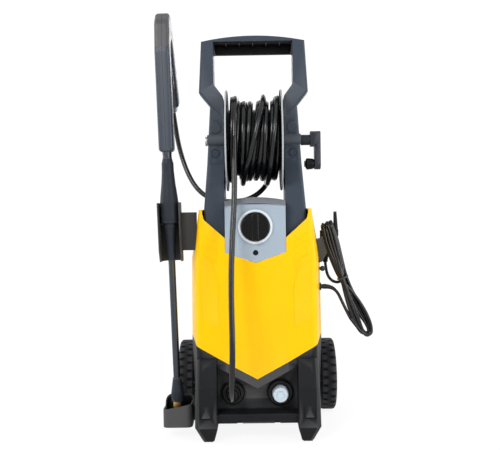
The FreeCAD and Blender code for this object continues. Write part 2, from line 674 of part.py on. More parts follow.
def make_tyre():
    x0, x1 = WHEEL_IN_X, WHEEL_OUT_X
    profile = [(x0, RIM_R + 0.1), (x0, WHEEL_R - 5), (x0 + 3, WHEEL_R - 1), (x0 + 8, WHEEL_R),
               (x1 - 8, WHEEL_R), (x1 - 3, WHEEL_R - 1), (x1, WHEEL_R - 5), (x1, RIM_R + 0.1)]
    tyre = spin_x(profile, WHEEL_Y, WHEEL_R)
    grooves = []
    for i in range(TREADS):
        for x_low, x_high, shift in ((x0 - 1, x0 + 14, 0.0), (x1 - 14, x1 + 1, 0.5)):
            groove = box(x_low, x_high, -2.2, 2.2, WHEEL_R - 3.5, WHEEL_R + 3)
            groove.rotate(V(0, 0, 0), V(1, 0, 0), (i + shift + 0.5) * 360.0 / TREADS)
            groove.translate(V(0, WHEEL_Y, WHEEL_R))
            grooves.append(groove)
    return tyre.cut(grooves)


def make_wheel_axle():
    rod = cyl(WHEEL_AXLE_R, 2 * (WHEEL_OUT_X - 5), (-WHEEL_OUT_X + 5, WHEEL_Y, WHEEL_R), (1, 0, 0))
    cap = cyl(13.0, 3.5, (WHEEL_OUT_X - 5 + SEAT, WHEEL_Y, WHEEL_R), (1, 0, 0))
    stem = cyl(5.0, 2.0, (WHEEL_OUT_X - 6, WHEEL_Y, WHEEL_R), (1, 0, 0))
    cap = round_edges(cap, 2.0, lambda e: e.BoundBox.XMin > WHEEL_OUT_X - 2)
    return join(rod, both(join(cap, stem)))


# ---- pump, motor and water ports -------------------------------------------------------
MOTOR_R = 62.0
MOTOR_LOW_Z = 196.0
MOTOR_HIGH_Z = 352.0
ROTOR_R = 38.0
MOTOR_Y = -6.0
SHAFT_R = 7.0


def make_motor_stator():
    x, y = 0.0, MOTOR_Y
    can = spin_z([(0, MOTOR_LOW_Z), (MOTOR_R, MOTOR_LOW_Z), (MOTOR_R, MOTOR_HIGH_Z - 6),
                  (MOTOR_R - 6, MOTOR_HIGH_Z), (0, MOTOR_HIGH_Z)], x, y)
    inside = spin_z([(0, MOTOR_LOW_Z + 10), (ROTOR_R + 1.2, MOTOR_LOW_Z + 10),
                     (ROTOR_R + 1.2, MOTOR_HIGH_Z - 12), (0, MOTOR_HIGH_Z - 12)], x, y)
    bore = cyl(SHAFT_R + RUN, 200, (x, y, MOTOR_LOW_Z - 2), (0, 0, 1))
    fins = []
    for i in range(16):
        fin = box(MOTOR_R - 2, MOTOR_R + 5, -1.2, 1.2, MOTOR_LOW_Z + 12, MOTOR_HIGH_Z - 16)
        fin.rotate(V(0, 0, 0), V(0, 0, 1), i * 22.5)
        fin.translate(V(x, y, 0))
        fins.append(fin)
    return join(can, *fins).cut([inside, bore])


def make_motor_rotor():
    x, y = 0.0, MOTOR_Y
    core = cyl(ROTOR_R, MOTOR_HIGH_Z - MOTOR_LOW_Z - 24, (x, y, MOTOR_LOW_Z + 11), (0, 0, 1))
    shaft = cyl(SHAFT_R, MOTOR_HIGH_Z - MOTOR_LOW_Z + 30, (x, y, MOTOR_LOW_Z - 18), (0, 0, 1))
    fan = spin_z([(SHAFT_R - 1, MOTOR_HIGH_Z + 3), (46, MOTOR_HIGH_Z + 3), (46, MOTOR_HIGH_Z + 6),
                  (SHAFT_R - 1, MOTOR_HIGH_Z + 6)], x, y)
    blades = []
    for i in range(9):
        blade = box(12, 45, -1, 1, MOTOR_HIGH_Z + 5, MOTOR_HIGH_Z + 18)
        blade.rotate(V(0, 0, 0), V(0, 0, 1), i * 40.0)
        blade.translate(V(x, y, 0))
        blades.append(blade)
    shaft = shaft.cut(box(-50, 50, y - 50, y + 50, MOTOR_HIGH_Z + 11, MOTOR_HIGH_Z + 60))
    return join(core, shaft, fan, *blades)


PUMP_TOP_Z = MOTOR_LOW_Z - SEAT


def make_pump_body():
    """Wobble-plate pump under the motor, with its two water ports to the front."""
    x, y = 0.0, MOTOR_Y
    head = spin_z([(0, 62), (44, 62), (50, 70), (50, 132), (58, 140), (58, PUMP_TOP_Z), (0, PUMP_TOP_Z)],
                  x, y)
    gearbox = cyl(SHAFT_R + 3.0, 24, (x, y, PUMP_TOP_Z - 23), (0, 0, 1))
    ports = []
    for px in (OUTLET_X, INLET_X):
        ports.append(box(min(px, 0) - (8 if px < 0 else 0), max(px, 0) + (8 if px > 0 else 0),
                         y - 40, y - 20, PORT_Z - 10, PORT_Z + 10))
    stand = box(-40, 40, y - 30, y + 30, SHELL_BOTTOM + WALL, 64)
    return cut(join(head, stand, *ports), gearbox)


def make_water_pipes():
    pipes = []
    y_pump = MOTOR_Y - 40.0
    for x in (OUTLET_X, INLET_X):
        length = y_pump - (RECESS_BACK_Y + 26.0)
        pipe = ring(9.0, 5.5, length - SEAT, (x * 0.93, RECESS_BACK_Y + 26.0, PORT_Z), (0, 1, 0))
        pipes.append(pipe)
    return group(pipes)


def make_capacitor():
    can = cyl(19.0, 82.0, (88.0, 40.0, 290.0), (0, 0, 1))
    cap = cyl(16.0, 6.0, (88.0, 40.0, 371.0), (0, 0, 1))
    strap = ring(21.0, 18.9, 14.0, (88.0, 40.0, 320.0), (0, 0, 1))
    arm = box(0, 88.0, 56.5, 60.0, 320.0, 334.0).cut(cyl(MOTOR_R - 2, 60, (0, MOTOR_Y, 300), (0, 0, 1)))
    arm = arm.common(box(20, 89, 0, 200, 0, 500))
    return join(can, cap, strap, arm)


def port_ring(x, r_out, r_in):
    y0 = RECESS_BACK_Y - SEAT
    return spin_y([(y0, r_in), (y0, r_out), (y0 - RING_OUT + 3, r_out),
                   (y0 - RING_OUT, r_out - 3), (y0 - RING_OUT, r_in + 1.5),
                   (y0 - RING_OUT + 2, r_in)], x, PORT_Z)


def make_outlet_collar():
    return port_ring(OUTLET_X, OUTLET_RING_R, 15.5)


def make_inlet_collar():
    return port_ring(INLET_X, INLET_RING_R, ADAPTOR_R + 1.0)


FITTING_FRONT_Y = RECESS_BACK_Y - 14.0


def make_outlet_fitting():
    """Brass stub that the hose nut screws on."""
    y0 = RECESS_BACK_Y + 25.5
    return spin_y([(y0, 0), (y0, 13), (RECESS_BACK_Y + 4, 13), (RECESS_BACK_Y + 2, 11),
                   (FITTING_FRONT_Y, 11), (FITTING_FRONT_Y, 0)], OUTLET_X, PORT_Z)


def make_hose_nut():
    y0 = RECESS_BACK_Y - 4.0
    y1 = FITTING_FRONT_Y - 18.0
    nut = spin_y([(y0, 11.3), (y0, NUT_R - 3.4), (y1 + 4, NUT_R - 3.4), (y1, NUT_R - 7), (y1, 0),
                  (FITTING_FRONT_Y - SEAT, 0), (FITTING_FRONT_Y - SEAT, 11.3)], OUTLET_X, PORT_Z)
    grooves = []
    for i in range(16):
        turn = math.radians(22.5 * i)
        centre = (OUTLET_X + 15.6 * math.cos(turn), y1 + 3, PORT_Z + 15.6 * math.sin(turn))
        grooves.append(cyl(1.6, 40, centre, (0, 1, 0)))
    return nut.cut(grooves)


def make_inlet_adaptor():
    y0 = RECESS_BACK_Y + 25.5
    y1 = RECESS_BACK_Y - ADAPTOR_OUT
    return spin_y([(y0, 0), (y0, 13), (RECESS_BACK_Y - SEAT, 13), (RECESS_BACK_Y - SEAT, ADAPTOR_R),
                   (y1 + 14, ADAPTOR_R), (y1 + 12.5, ADAPTOR_R - 1.2), (y1 + 1.5, ADAPTOR_R - 1.2),
                   (y1, ADAPTOR_R - 2.7), (y1, 9), (y1 + 3, 8), (y1 + 3, 0)], INLET_X, PORT_Z)


# ---- gun and lance, in their own frame --------------------------------------------------
def grip_point(along, across):
    """Point of the gun's side view: along the grip from its end, across towards the back."""
    gy, gz = GRIP_END
    dy, dz = GRIP_DIRECTION
    return (gy + dy * along - dz * across, gz + dz * along + dy * across)


def gun_outline(shrink):
    h = GUN_HALF_X - shrink
    front_low = grip_point(-shrink, -17.0 + shrink)
    back_low = grip_point(-shrink, 17.0 - shrink)
    return [(-h, GUN_LOW_Z + shrink), (-h, 850.0), (-2.0 + shrink, 918.0), (26.0, 945.0 - shrink),
            (64.0 - shrink * 0.4, 926.0 - shrink), back_low, front_low,
            (44.0 + shrink * 0.5, 888.0 + shrink * 0.6), (h, 868.0), (h, GUN_LOW_Z + shrink)]


def make_gun_shell(side):
    """One half of the gun's casing; the halves meet on the gun's mid-plane."""
    outer = prism_x(gun_outline(0.0), -GUN_HALF_X, GUN_HALF_X, [8, 40, 30, 16, 22, 12, 8, 14, 12, 8])
    outer = round_edges(outer, 7.5, lambda e: e.BoundBox.XLength < 0.01)
    hollow = prism_x(gun_outline(3.0), -GUN_HALF_X + 4, GUN_HALF_X - 4,
                     [5, 37, 27, 13, 19, 9, 5, 15, 13, 5])
    rod_hole = cyl(12.0, 40, (0, 0, GUN_LOW_Z - 10), (0, 0, 1))
    nut_hole = cyl(9.3, 30, gun_axis_point(-14.0), grip_axis())
    ty, tz = TRIGGER_PIVOT
    trigger_slot = box(-8.4, 8.4, 18.0, 62.0, 840.0, 912.0)
    half = box(0.25, 40, -60, 260, 500, 1000)
    shell = cut(outer, hollow, rod_hole, nut_hole, trigger_slot)
    pin = cyl(PIVOT_R - RUN, GUN_HALF_X - 2.0, (0.25, ty, tz), (1, 0, 0))
    shell = join(shell.common(half), pin.common(half))
    screw_r = GUN_SCREW_R if side > 0 else GUN_SCREW_R / 2
    for z in (650.0, 720.0, 790.0):
        shell = shell.cut(cyl(screw_r, 6, (GUN_HALF_X - 1.5, 0, z), (1, 0, 0)))
    return shell if side > 0 else mirror_x(shell)


def gun_axis_point(along):
    y, z = grip_point(along, 0.0)
    return (0, y, z)


def grip_axis():
    return (0, GRIP_DIRECTION[0], GRIP_DIRECTION[1])


def make_gun_valve():
    """Brass valve block in the casing with the inlet stub and nut at the grip's end."""
    block = cyl(9.0, 120.0, (0, 0, 700.0), (0, 0, 1))
    rise = cyl(6.0, 34.0, (0, 0, 819.0), (0, 0, 1))
    inlet = cyl(9.0, 26.0, gun_axis_point(-12.0), grip_axis())
    collar = cyl(11.5, 10.0, gun_axis_point(1.0), grip_axis())
    feed_y, feed_z = grip_point(-12.0, 0.0)
    knee_y, knee_z, turn_z = 36.0, 925.0, 849.0
    feed = cyl(4.0, math.hypot(feed_y - knee_y, feed_z - knee_z), (0, feed_y, feed_z),
               (0, knee_y - feed_y, knee_z - feed_z))
    over = cyl(3.5, math.hypot(knee_y, knee_z - turn_z), (0, 0, turn_z), (0, knee_y, knee_z - turn_z))
    knee_ball = Part.makeSphere(4.2, V(0, knee_y, knee_z))
    return join(block, rise, inlet, collar, feed, over, knee_ball)


def make_trigger():
    ty, tz = TRIGGER_PIVOT
    points = [(ty - 1, tz - 6), (ty + 6, tz + 2), (ty + 18, tz - 34), (90.0, 787.0), (83.0, 780.0),
              (58.0, 815.0), (ty + 4, 858.0)]
    lever = prism_x(points, -7.6, 7.6, [2, 2, 30, 4, 4, 60, 12])
    eye = cyl(6.5, 15.2, (-7.6, ty, tz), (1, 0, 0))
    bore = cyl(PIVOT_R + RUN, 40, (-20, ty, tz), (1, 0, 0))
    ly, lz = LATCH_PIVOT
    ear = box(-1.5, 1.5, ly - 3.5, ty + 1, lz - 3.5, lz + 3.5)
    pin = cyl(1.8, 13.0, (-6.5, ly, lz), (1, 0, 0))
    wide = prism_x([(58.0, 824.0), (67.0, 829.0), (90.0, 787.0), (83.0, 780.0)], -12.5, 12.5, 3)
    lever = join(lever, eye, wide)
    return join(lever.cut(bore), ear, pin)


def make_safety_latch():
    ly, lz = LATCH_PIVOT
    outline = [(ly - 4, lz + 4), (ly + 3.5, lz + 4), (ly + 2.5, lz - 20), (ly - 4, lz - 22)]
    plate = prism_x(outline, 1.8, 7.4, 1.5)
    web = box(-7.4, 7.4, ly - 4, ly + 2, lz - 20, lz - 12)
    bore = cyl(1.8 + RUN, 40, (-20, ly, lz), (1, 0, 0))
    return join(plate, mirror_x(plate), web).cut(bore)


def make_lance_sleeve():
    """Insulating sleeve around the lance's upper end."""
    bore = TUBE_R + 0.1
    profile = [(bore, SLEEVE_TOP_Z), (10.5, SLEEVE_TOP_Z), (11.5, SLEEVE_TOP_Z - 5), (13.2, 604.0),
               (13.5, 585.0), (15.5, 560.0), (19.0, 532.0), (20.3, 518.0), (20.3, 482.0),
               (19.0, SLEEVE_LOW_Z), (14.0, SLEEVE_LOW_Z), (14.0, 463.0), (12.5, 458.0), (9.8, 430.0),
               (9.0, 390.0), (bore, 388.0)]
    return spin_z(profile)


def make_lance_tube():
    """Steel tube from inside the gun, where its wide end is held, down to the nozzle."""
    neck = spin_z([(0, 699.7), (9.0, 699.7), (9.0, TUBE_TOP_Z), (10.3, GUN_LOW_Z + 10),
                   (10.3, SLEEVE_TOP_Z + SEAT), (0, SLEEVE_TOP_Z + SEAT)])
    tube = cyl(TUBE_R, SLEEVE_TOP_Z - NOZZLE_LOW_Z + 2, (0, 0, NOZZLE_LOW_Z - 1), (0, 0, 1))
    grooves = [ring(12, 9.4, 1.6, (0, 0, z), (0, 0, 1)) for z in (618.0, 622.0)]
    return join(neck, tube).cut(grooves)


def make_nozzle_sleeve():
    bore = TUBE_R + RUN
    profile = [(bore, 128.0), (9.0, 128.0), (14.3, 94.0), (13.8, NOZZLE_LOW_Z), (bore, NOZZLE_LOW_Z)]
    sleeve = spin_z(profile)
    grooves = []
    for i in range(14):
        turn = math.radians(360.0 * i / 14)
        grooves.append(cyl(1.3, 20, (14.6 * math.cos(turn), 14.6 * math.sin(turn),
                                     NOZZLE_LOW_Z + 1.0), (0, 0, 1)))
    return sleeve.cut(grooves)


def make_nozzle_tip():
    z1 = NOZZLE_LOW_Z - 1.0 - SEAT
    return spin_z([(1.0, z1), (10.4, z1), (10.4, TIP_LOW_Z + 2), (9.0, TIP_LOW_Z), (5.5, TIP_LOW_Z),
                   (1.0, TIP_LOW_Z + 4)])


def hang(shape):
    """From the lance's own frame to its place on the machine's left side."""
    placed = shape.copy()
    placed.rotate(V(0, 0, 0), V(0, 1, 0), LANCE_TILT)
    placed.translate(V(LANCE_X, LANCE_Y, 0))
    return placed


# ---- holders on the left side ------------------------------------------------------------
def make_lance_clip():
    """U-shaped channel, open to the front, that the lance's sleeve stands in."""
    outer = prism_z([(-CLIP_HALF, -24), (CLIP_HALF, -24), (CLIP_HALF, 30), (-CLIP_HALF, 30)],
                    CLIP_LOW_Z, CLIP_HIGH_Z, [1, 1, 16, 16])
    inner = prism_z([(-CLIP_HALF + 3, -30), (CLIP_HALF - 3, -30), (CLIP_HALF - 3, 27),
                     (-CLIP_HALF + 3, 27)], CLIP_LOW_Z - 1, CLIP_HIGH_Z + 1, [0, 0, 14, 14])
    slope = prism_x([(-30, CLIP_LOW_Z - 1), (-12, CLIP_LOW_Z - 1), (-30, CLIP_LOW_Z + 40)], -30, 30)
    ledge = ring(24.0, 16.0, 4.0, (0, 0, SLEEVE_LOW_Z - 4.0 - SEAT), (0, 0, 1)).common(
        box(-22.5, 22.5, 4.0, 27.5, 460, 480))
    return join(cut(outer, inner, slope), ledge)


def make_clip_bracket():
    """Plate from the body's side to the back of the clip."""
    y0, y1 = LANCE_Y - 4.0, LANCE_Y + 10.0
    plate = box(-166.0, -130.0, y0, y1, 411.0, 495.0)
    reach = hang(prism_z([(-CLIP_HALF - SEAT, -40), (CLIP_HALF + SEAT, -40), (CLIP_HALF + SEAT, 60),
                          (-CLIP_HALF - SEAT, 60)], 380.0, 520.0))
    solid = shell_solid(-SEAT)
    return plate.cut([reach, solid])


def make_nozzle_cup():
    """Open-topped cup that the nozzle stands in, carried by the left leg."""
    x0, x1 = -208.0, -143.5
    y0, y1 = LANCE_Y - 33.0, LANCE_Y + 33.0
    outer = box(x0, x1, y0, y1, CUP_LOW_Z, 96.0)
    outer = round_edges(outer, 12.0, lambda e: e.BoundBox.ZLength > 50)
    inner = box(x0 + 3, x1 - 3, y0 + 3, y1 - 3, CUP_LOW_Z + 3, 99.0)
    inner = round_edges(inner, 9.0, lambda e: e.BoundBox.ZLength > 50)
    rim = prism_y([(x0 - 5, 62), (x1 + 5, 77), (x1 + 5, 120), (x0 - 5, 120)], y0 - 5, y1 + 5)
    rim = rim.cut(box(x0 - 9, x1 + 9, y1 - 30, y1 + 9, 50, 130))
    step = prism_x([(y1 - 30.1, 50), (y1 - 30.1, 130), (y1 + 9, 130), (y1 + 9, 92)], x0 - 9, x1 + 9)
    arm = box(x1 - 2.0, -130.0, LANCE_Y + 2.0, LANCE_Y + 10.0, CUP_LOW_Z + 6, 62.0)
    inside_body = shell_solid(-SEAT)
    return join(cut(outer, inner, rim, step), arm.cut(inside_body))


# ---- cord hook, storage peg and cord gland on the right side -----------------------------
def side_x(z, y=HOOK_Y):
    """Outside of the right wall at the hook's depth."""
    side = between(SHELL_LEVELS, z, 2)
    front = between(SHELL_LEVELS, z, 1)
    share = (FLARE_Y - y) / (FLARE_Y - CHEEK_Y)
    return side - (side - front) * share


def make_cord_hook():
    """Bracket on the side wall, a level bar and an upright finger."""
    wall = shell_solid(-SEAT)
    bracket = prism_y([(120, 372), (150, 378), (164, 402), (164, 430), (120, 430)], HOOK_Y - 14,
                      HOOK_Y + 14, [0, 4, 6, 3, 0]).cut(wall)
    bar = prism_y([(158, 414), (164, 414), (189, 436), (189, 450), (180, 450), (158, 426)],
                  HOOK_Y - 5, HOOK_Y + 5, [0, 3, 5, 0, 5, 0])
    finger = cone(5.6, 3.6, 48.0, (183.6, HOOK_Y, 444.0), (-0.03, 0, 1))
    return join(bracket, bar, finger)


def make_storage_peg():
    x0 = side_x(360.0) + SEAT
    ball = Part.makeSphere(6.2, V(x0 + 7.0, HOOK_Y, 362.0))
    stem = cyl(3.5, 9.0, (x0, HOOK_Y, 362.0), (1, 0, 0))
    return join(ball, stem).cut(shell_solid(-SEAT))


def make_cord_gland():
    """Flanged rubber sleeve the cord leaves through."""
    x0 = side_x(GLAND_Z)
    sleeve = cyl(GLAND_R, CORD_LEAD[0][0] - x0 + 9.0, (x0 - 9.0, HOOK_Y, GLAND_Z), (1, 0, 0))
    flange = cyl(8.5, 6.0, (x0 - 3.0, HOOK_Y, GLAND_Z), (1, 0, 0)).cut(shell_solid(-SEAT / 3))
    return join(sleeve, flange)


# ---- hose and cord ------------------------------------------------------------------------
HOSE_FRONT = [
    (-54.0, -144.3, 94.0), (-54.0, -168.0, 94.0), (-54.0, -206.0, 100.0), (-53.0, -238.0, 129.0),
    (-50.5, -250.0, 176.0), (-49.5, -246.0, 232.0), (-51.0, -233.0, 300.0), (-51.0, -215.0, 372.0),
    (-48.0, -196.0, 446.0), (-43.5, -178.0, 515.0), (-42.5, -164.0, 580.0), (-42.0, -156.8, 625.0),
    (-42.0, -156.4, 656.0),
]
HOSE_REAR = [
    (40.0, 38.3, 621.7), (40.0, 24.6, 584.0), (27.0, 15.0, 554.5), (3.3, 9.3, 532.0),
    (-27.8, 8.0, 519.8), (-61.5, 11.4, 518.5), (-95.0, 20.0, 523.0), (-124.0, 34.0, 536.0),
    (-147.0, 47.0, 560.0), (-164.5, 58.0, 592.0), (-178.0, 67.5, 629.0), (-188.0, 71.5, 669.0),
    (-193.0, 65.0, 708.5), (-195.6, 46.4, 739.4),
]
CORD_LEAD = [
    (154.3, -60.0, 321.0), (170.0, -60.0, 321.0), (185.0, -65.0, 309.0), (194.0, -74.0, 288.0),
    (203.0, -78.0, 268.0), (213.0, -74.0, 249.0),
]


def tube(route, diameter, name):
    """Round tube along straight runs joined by the largest arcs that the runs allow."""
    points = [V(*p) for p in route]
    edges = []
    here = points[0]
    radii = []
    length = 0.0
    for before, p, after in zip(points, points[1:], points[2:]):
        back, onward = (before - p), (after - p)
        run = min(back.Length, onward.Length)
        back.normalize()
        onward.normalize()
        half_turn = (math.pi - back.getAngle(onward)) / 2.0
        radius = 0.45 * run / math.tan(half_turn)
        reach = 0.45 * run
        middle = (back + onward).normalize() * (radius / math.cos(half_turn) - radius)
        start, end = p + back * reach, p + onward * reach
        edges.append(Part.LineSegment(here, start).toShape())
        edges.append(Part.Arc(start, p + middle, end).toShape())
        length += here.distanceToPoint(start) + 2.0 * half_turn * radius
        here = end
        radii.append(radius)
    edges.append(Part.LineSegment(here, points[-1]).toShape())
    length += here.distanceToPoint(points[-1])
    circle = Part.makeCircle(diameter / 2.0, points[0], points[1] - points[0])
    solid = Part.Wire(edges).makePipeShell([Part.Wire(circle)], True, True)
    expected = math.pi * diameter ** 2 / 4.0 * length
    print(name, "length %.0f mm" % length, "radii", [round(r) for r in radii],
          "volume/expected %.4f" % (solid.Volume / expected))
    return solid


HANK_ROWS = [         # share of the length, half-width, half-depth
    (0.0, 9.0, 13.0), (0.05, 16.0, 18.0), (0.2, 19.5, 20.0), (0.38, 15.0, 20.0), (0.475, 11.5, 20.0),
    (0.57, 14.0, 20.0), (0.76, 21.0, 20.0), (0.9, 21.0, 20.0), (0.97, 15.0, 17.0), (1.0, 8.0, 12.0),
]
HANK_TOP = (161.0, -60.0, 470.0)
HANK_LOW = (256.0, -66.0, 206.0)
HANK_BOW = 9.0


def hank_frame():
    top, low = V(*HANK_TOP), V(*HANK_LOW)
    along = (low - top)
    length = along.Length
    along.normalize()
    across = along.cross(V(0, 1, 0)).normalize()
    deep = across.cross(along).normalize()
    return top, along, across, deep, length


def hank_ring(share, half_wide, half_deep):
    """Oval cross-section of the hank at a share of its length."""
    top, along, across, deep, length = hank_frame()
    bow = -HANK_BOW * math.sin(math.pi * share)
    centre = top + along * (share * length) + across * bow
    points = []
    for i in range(12):
        turn = math.radians(30.0 * i)
        points.append(centre + across * (half_wide * math.cos(turn))
                      + deep * (half_deep * math.sin(turn)))
    curve = Part.BSplineCurve()
    curve.interpolate(points, PeriodicFlag=True)
    return Part.Wire(curve.toShape())


def make_cord_hank():
    """Outer shape of the tied hank: two lobes, with room for the hook that it hangs on."""
    body = Part.makeLoft([hank_ring(*row) for row in HANK_ROWS], True, False)
    y0, y1 = HOOK_Y - 5 - SEAT, HOOK_Y + 5 + SEAT
    hook_room = prism_y([(120, 380), (150, 400), (189.5, 430), (189.5, HOOK_BAR_Z + 4 + SEAT),
                         (120, HOOK_BAR_Z + 4 + SEAT)], y0, y1)
    finger_room = cyl(6.2, 70, (183.6, HOOK_Y, 430.0), (-0.03, 0, 1))
    bracket_room = box(120, 164.5, HOOK_Y - 14.4, HOOK_Y + 14.4, 370, 430.5)
    tie = tie_ring(SEAT)
    return cut(body, hook_room, finger_room, bracket_room, tie)


TIE_SHARE = 0.475


def tie_ring(grow):
    """Thin band around the hank's waist."""
    half_wide, half_deep = HANK_ROWS[4][1], HANK_ROWS[4][2]
    top, along, across, deep, length = hank_frame()
    bow = -HANK_BOW * math.sin(math.pi * TIE_SHARE)
    centre = top + along * (TIE_SHARE * length) + across * bow
    def oval(extra):
        points = []
        for i in range(12):
            turn = math.radians(30.0 * i)
            points.append(centre - along * (2.0 + grow)
                          + across * ((half_wide + extra) * math.cos(turn))
                          + deep * ((half_deep + extra) * math.sin(turn)))
        curve = Part.BSplineCurve()
        curve.interpolate(points, PeriodicFlag=True)
        return Part.Face(Part.Wire(curve.toShape())).extrude(along * (4.0 + 2 * grow))
    return oval(1.5).cut(oval(-1.0 - grow))


def make_cord_tie():
    return tie_ring(0.0)


def make_plug():
    """Two-pin plug tucked in behind the hank's upper lobe."""
    x, y, z = PLUG_PLACE
    body = spin_z([(0, z), (17.0, z), (18.5, z - 5), (18.5, z - 14), (12.0, z - 30), (7.5, z - 42),
                   (5.5, z - 56), (0, z - 56)], x, y)
    flat = box(x - 25, x + 25, y - 13, y + 13, z - 70, z + 2)
    body = body.common(flat)
    pins = [cyl(2.4, 19.0, (x + dx, y, z - 1), (0, 0, 1)) for dx in (-9.5, 9.5)]
    return join(body, *pins)


PLUG_PLACE = (162.6, -22.0, 430.0)


# ---- all sub-parts -------------------------------------------------------------------------
def build_nodes():
    """Every sub-part by name, in the machine's own frame."""
    nodes = {
        "chassis": make_chassis(),
        "front_cover": make_front_cover(),
        "rear_cover": make_rear_cover(),
        "cover_screws": make_cover_screws(),
        "control_panel": make_control_panel(),
        "top_cap": make_top_cap(),
        "dial_ring": make_dial_ring(),
        "selector_knob": make_selector_knob(),
        "switch_body": make_switch_body(),
        "indicator_lens": make_indicator_lens(),
        "right_upright": make_upright(),
        "left_upright": mirror_x(make_upright()),
        "upright_caps": make_upright_caps(),
        "handle_frame": make_handle_frame(),
        "handle_grip": make_handle_grip(),
        "handle_screws": make_handle_screws(),
        "foot_pads": make_foot_pads(),
        "reel_drum": make_reel_drum(),
        "reel_flange_right": make_reel_flange(1),
        "reel_flange_left": make_reel_flange(-1),
        "reel_axle": make_reel_axle(),
        "crank_arm": make_crank_arm(),
        "crank_grip": make_crank_grip(),
        "hose_winding": make_hose_winding(),
        "right_wheel": make_wheel(),
        "left_wheel": mirror_x(make_wheel()),
        "right_tyre": make_tyre(),
        "left_tyre": mirror_x(make_tyre()),
        "wheel_axle": make_wheel_axle(),
        "motor_stator": make_motor_stator(),
        "motor_rotor": make_motor_rotor(),
        "pump_body": make_pump_body(),
        "water_pipes": make_water_pipes(),
        "capacitor": make_capacitor(),
        "outlet_collar": make_outlet_collar(),
        "inlet_collar": make_inlet_collar(),
        "outlet_fitting": make_outlet_fitting(),
        "hose_nut": make_hose_nut(),
        "inlet_adaptor": make_inlet_adaptor(),
        "gun_shell_left": hang(make_gun_shell(-1)),
        "gun_shell_right": hang(make_gun_shell(1)),
        "gun_valve": hang(make_gun_valve()),
        "trigger": hang(make_trigger()),
        "safety_latch": hang(make_safety_latch()),
        "lance_sleeve": hang(make_lance_sleeve()),
        "lance_tube": hang(make_lance_tube()),
        "nozzle_sleeve": hang(make_nozzle_sleeve()),
        "nozzle_tip": hang(make_nozzle_tip()),
        "lance_clip": hang(make_lance_clip()),
        "clip_bracket": make_clip_bracket(),
        "nozzle_cup": make_nozzle_cup(),
        "cord_hook": make_cord_hook(),
        "storage_peg": make_storage_peg(),
        "cord_gland": make_cord_gland(),
        "hose_front": tube(HOSE_FRONT, HOSE_D, "hose_front"),
        "hose_rear": tube(HOSE_REAR, HOSE_D, "hose_rear"),
        "cord_lead": tube(CORD_LEAD, CORD_D, "cord_lead"),
        "cord_hank": make_cord_hank(),
        "cord_tie": make_cord_tie(),
        "plug": make_plug(),
    }
    return nodes


CORD_NODES = ["hose_front", "hose_rear", "hose_winding", "hose_nut", "cord_lead", "cord_hank",
              "cord_tie", "plug"]


def own_box(nodes):
    """Box of the machine itself, without its hose and cord."""
    whole = FreeCAD.BoundBox()
    for name, shape in nodes.items():
        if name not in CORD_NODES:
            whole.add(shape.optimalBoundingBox(False))
    return whole


def main():
    nodes = build_nodes()
    whole = own_box(nodes)
    shift = V(-(whole.XMin + whole.XMax) / 2.0, -(whole.YMin + whole.YMax) / 2.0, -whole.ZMin)
    print("machine frame moved by", [round(c, 3) for c in shift])
    os.makedirs("parts", exist_ok=True)
    for name, shape in nodes.items():
        shape.translate(shift)
        shape.exportStep("parts/" + name + ".step")
    print(len(nodes), "sub-parts, box", whole)


if __name__ == "__main__":
    main()
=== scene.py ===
import math
import random

import bmesh
import bpy
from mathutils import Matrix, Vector


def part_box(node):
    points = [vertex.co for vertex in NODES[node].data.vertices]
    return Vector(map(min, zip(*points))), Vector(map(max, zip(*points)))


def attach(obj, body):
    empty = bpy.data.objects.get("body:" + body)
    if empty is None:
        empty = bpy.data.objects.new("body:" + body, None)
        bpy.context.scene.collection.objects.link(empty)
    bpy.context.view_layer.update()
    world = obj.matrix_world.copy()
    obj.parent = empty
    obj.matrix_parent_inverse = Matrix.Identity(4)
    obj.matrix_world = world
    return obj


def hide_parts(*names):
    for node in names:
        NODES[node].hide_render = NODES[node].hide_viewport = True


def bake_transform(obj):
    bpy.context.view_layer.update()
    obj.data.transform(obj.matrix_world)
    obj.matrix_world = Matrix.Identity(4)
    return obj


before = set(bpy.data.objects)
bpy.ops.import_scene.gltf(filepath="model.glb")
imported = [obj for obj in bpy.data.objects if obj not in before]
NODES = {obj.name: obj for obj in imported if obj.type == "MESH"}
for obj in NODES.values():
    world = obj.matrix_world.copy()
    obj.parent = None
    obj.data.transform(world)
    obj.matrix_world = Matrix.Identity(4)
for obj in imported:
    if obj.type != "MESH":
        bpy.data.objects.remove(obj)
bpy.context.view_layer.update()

MM = 0.001


def middle_of(node):
    low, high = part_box(node)
    return (Vector(low) + Vector(high)) / 2.0


# The machine's mid-plane is a little beside the frame's origin; the handle shows where.
MID_X = middle_of("handle_frame").x


def place(x, y, z):
    """Point given in the machine's own millimetres, as a point of the frame."""
    return Vector((x * MM + MID_X, y * MM, z * MM))


# ---- camera ----------------------------------------------------------------------------
CAMERA_PLACE = (0.0, -1621.0, 500.0)
CAMERA_LENS = 49.2
CAMERA_DOWN = 1.33
CAMERA_ROLL = 0.85
CAMERA_PAN = 0.42


def make_camera():
    data = bpy.data.cameras.new("camera")
    camera = bpy.data.objects.new("camera", data)
    bpy.context.scene.collection.objects.link(camera)
    data.lens = CAMERA_LENS
    data.sensor_width = 36.0
    camera.location = place(*CAMERA_PLACE)
    camera.rotation_euler = (math.radians(90.0 - CAMERA_DOWN), math.radians(CAMERA_ROLL),
                             math.radians(CAMERA_PAN))
    data.clip_start, data.clip_end = 0.05, 30.0
    bpy.context.scene.camera = camera


make_camera()


